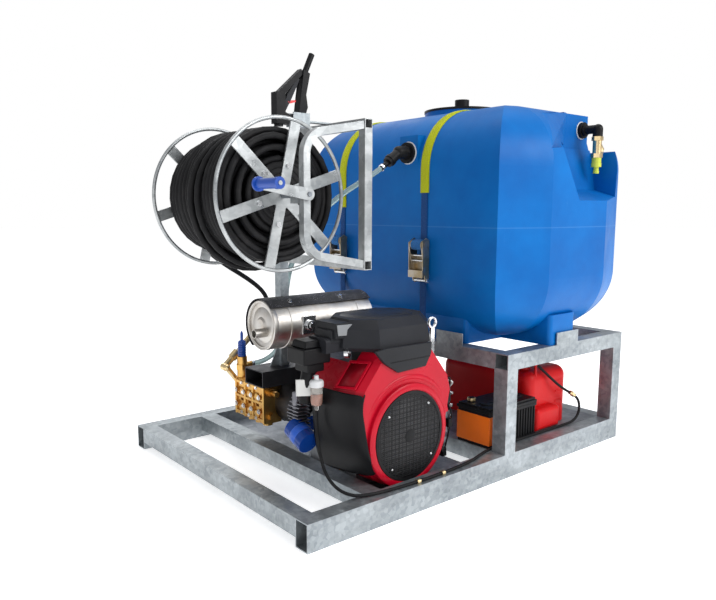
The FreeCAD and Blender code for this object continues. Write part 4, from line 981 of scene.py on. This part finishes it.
def make_battery():
    """Ribs, a lid with caps and an orange wrap round the battery's left end."""
    ribs = bmesh.new()
    for index in range(9):
        x = 872 + 14 * index
        block(ribs, (x, x + 5), (64.5, 68.5), (84, 176))
    block(ribs, (862, 997.5), (65, 69), (176, 186))
    block(ribs, (862, 997.5), (65, 69), (78, 84))
    piece("battery_ribs", ribs, BLACK, bevel=0.8)
    wrap = bmesh.new()
    block(wrap, (754.6, 858), (66.2, 199.6), (84, 176))
    piece("battery_wrap", wrap, ORANGE, bevel=1.2)
    lid = bmesh.new()
    block(lid, (753, 999), (65, 201), (186, 196))
    for index in range(6):
        lathe(lid, axes((788 + 35 * index, 116, 203), Z), [(0, 0), (12, 0), (12, 3), (9, 4.5), (0, 4.5)], 28)
    block(lid, (784, 968), (98, 134), (203, 206), 0.03)
    piece("battery_lid", lid, BLACK, bevel=1.5)
    clamps = bmesh.new()
    for x in (790, 962):
        collar(clamps, axes((x, 170, 206), Z), 9, 14, 0, 9)
    piece("battery_clamps", clamps, FITTING, bevel=0.6)


def make_can():
    """Stiffening ribs on the can and grip ribs on its cap."""
    ribs = bmesh.new()
    for index in range(4):
        z = 112 + 36 * index
        block(ribs, (1160, 1196), (102, 106), (z, z + 8))
    for index in range(5):
        y = 170 + 60 * index
        block(ribs, (1030, 1210), (y, y + 12), (274, 277.5), 0.06)
    piece("can_ribs", ribs, CAN_RED, bevel=1.6)
    grips = bmesh.new()
    matrix = axes((1052, 160, 284), Z)
    for index in range(24):
        turn = Matrix.Rotation(2 * math.pi * index / 24, 4, "Z")
        prism(grips, matrix @ turn, [(23, -1.4), (25.2, -1.4), (25.2, 1.4), (23, 1.4)], 18)
    piece("cap_grips", grips, BLACK, "fuel_cap", bevel=0.4)


# ---- fittings on the tank --------------------------------------------------------------------------

RETURN_PORT, FILL_PORT = (420, 1007), (1325, 1098)


def make_tank_fittings():
    """White gaskets, union nuts and the return hose's two clips."""
    gaskets = bmesh.new()
    lathe(gaskets, axes((TANK_FACE, *RETURN_PORT), LEFT), [(34, 0), (37, 0.5), (37, 3), (34, 3.5)], 48)
    lathe(gaskets, axes((FILL_PORT[0], 155, FILL_PORT[1]), FRONT),
          [(28, 0), (31, 0.5), (31, 3), (28, 3.5)], 48)
    piece("gaskets", gaskets, GASKET, bevel=0.4)
    nuts = bmesh.new()
    prism(nuts, axes((721, *RETURN_PORT), LEFT), polygon(24, 8), 9, 0.05)
    prism(nuts, axes((FILL_PORT[0], 141, FILL_PORT[1]), FRONT), polygon(21, 8), 9, 0.05)
    tail = Vector((-0.82, 0, -0.57)).normalized()
    elbow = Vector((690, *RETURN_PORT))
    lathe(nuts, axes(elbow + tail * 40, tail), [(17, 0), (20, 1), (20, 12), (17, 13)], 32)
    piece("union_nuts", nuts, BLACK, bevel=0.8)
    clip = bmesh.new()
    collar(clip, axes(elbow + tail * 86, tail), 8.6, 11, 0, 9)
    collar(clip, axes((285, 704, 306), X), 8.6, 11, 0, 9)
    piece("hose_clips", clip, STEEL, bevel=0.3)


make_drum_face()
make_straps()
make_shroud_pieces()
make_side_panel()
make_screen()
make_air_cleaner()
make_intake_parts()
make_cylinder_fins()
make_filters()
make_muffler()
make_wiring()
make_lifting_eye()
make_pump()
make_battery()
make_can()
make_tank_fittings()
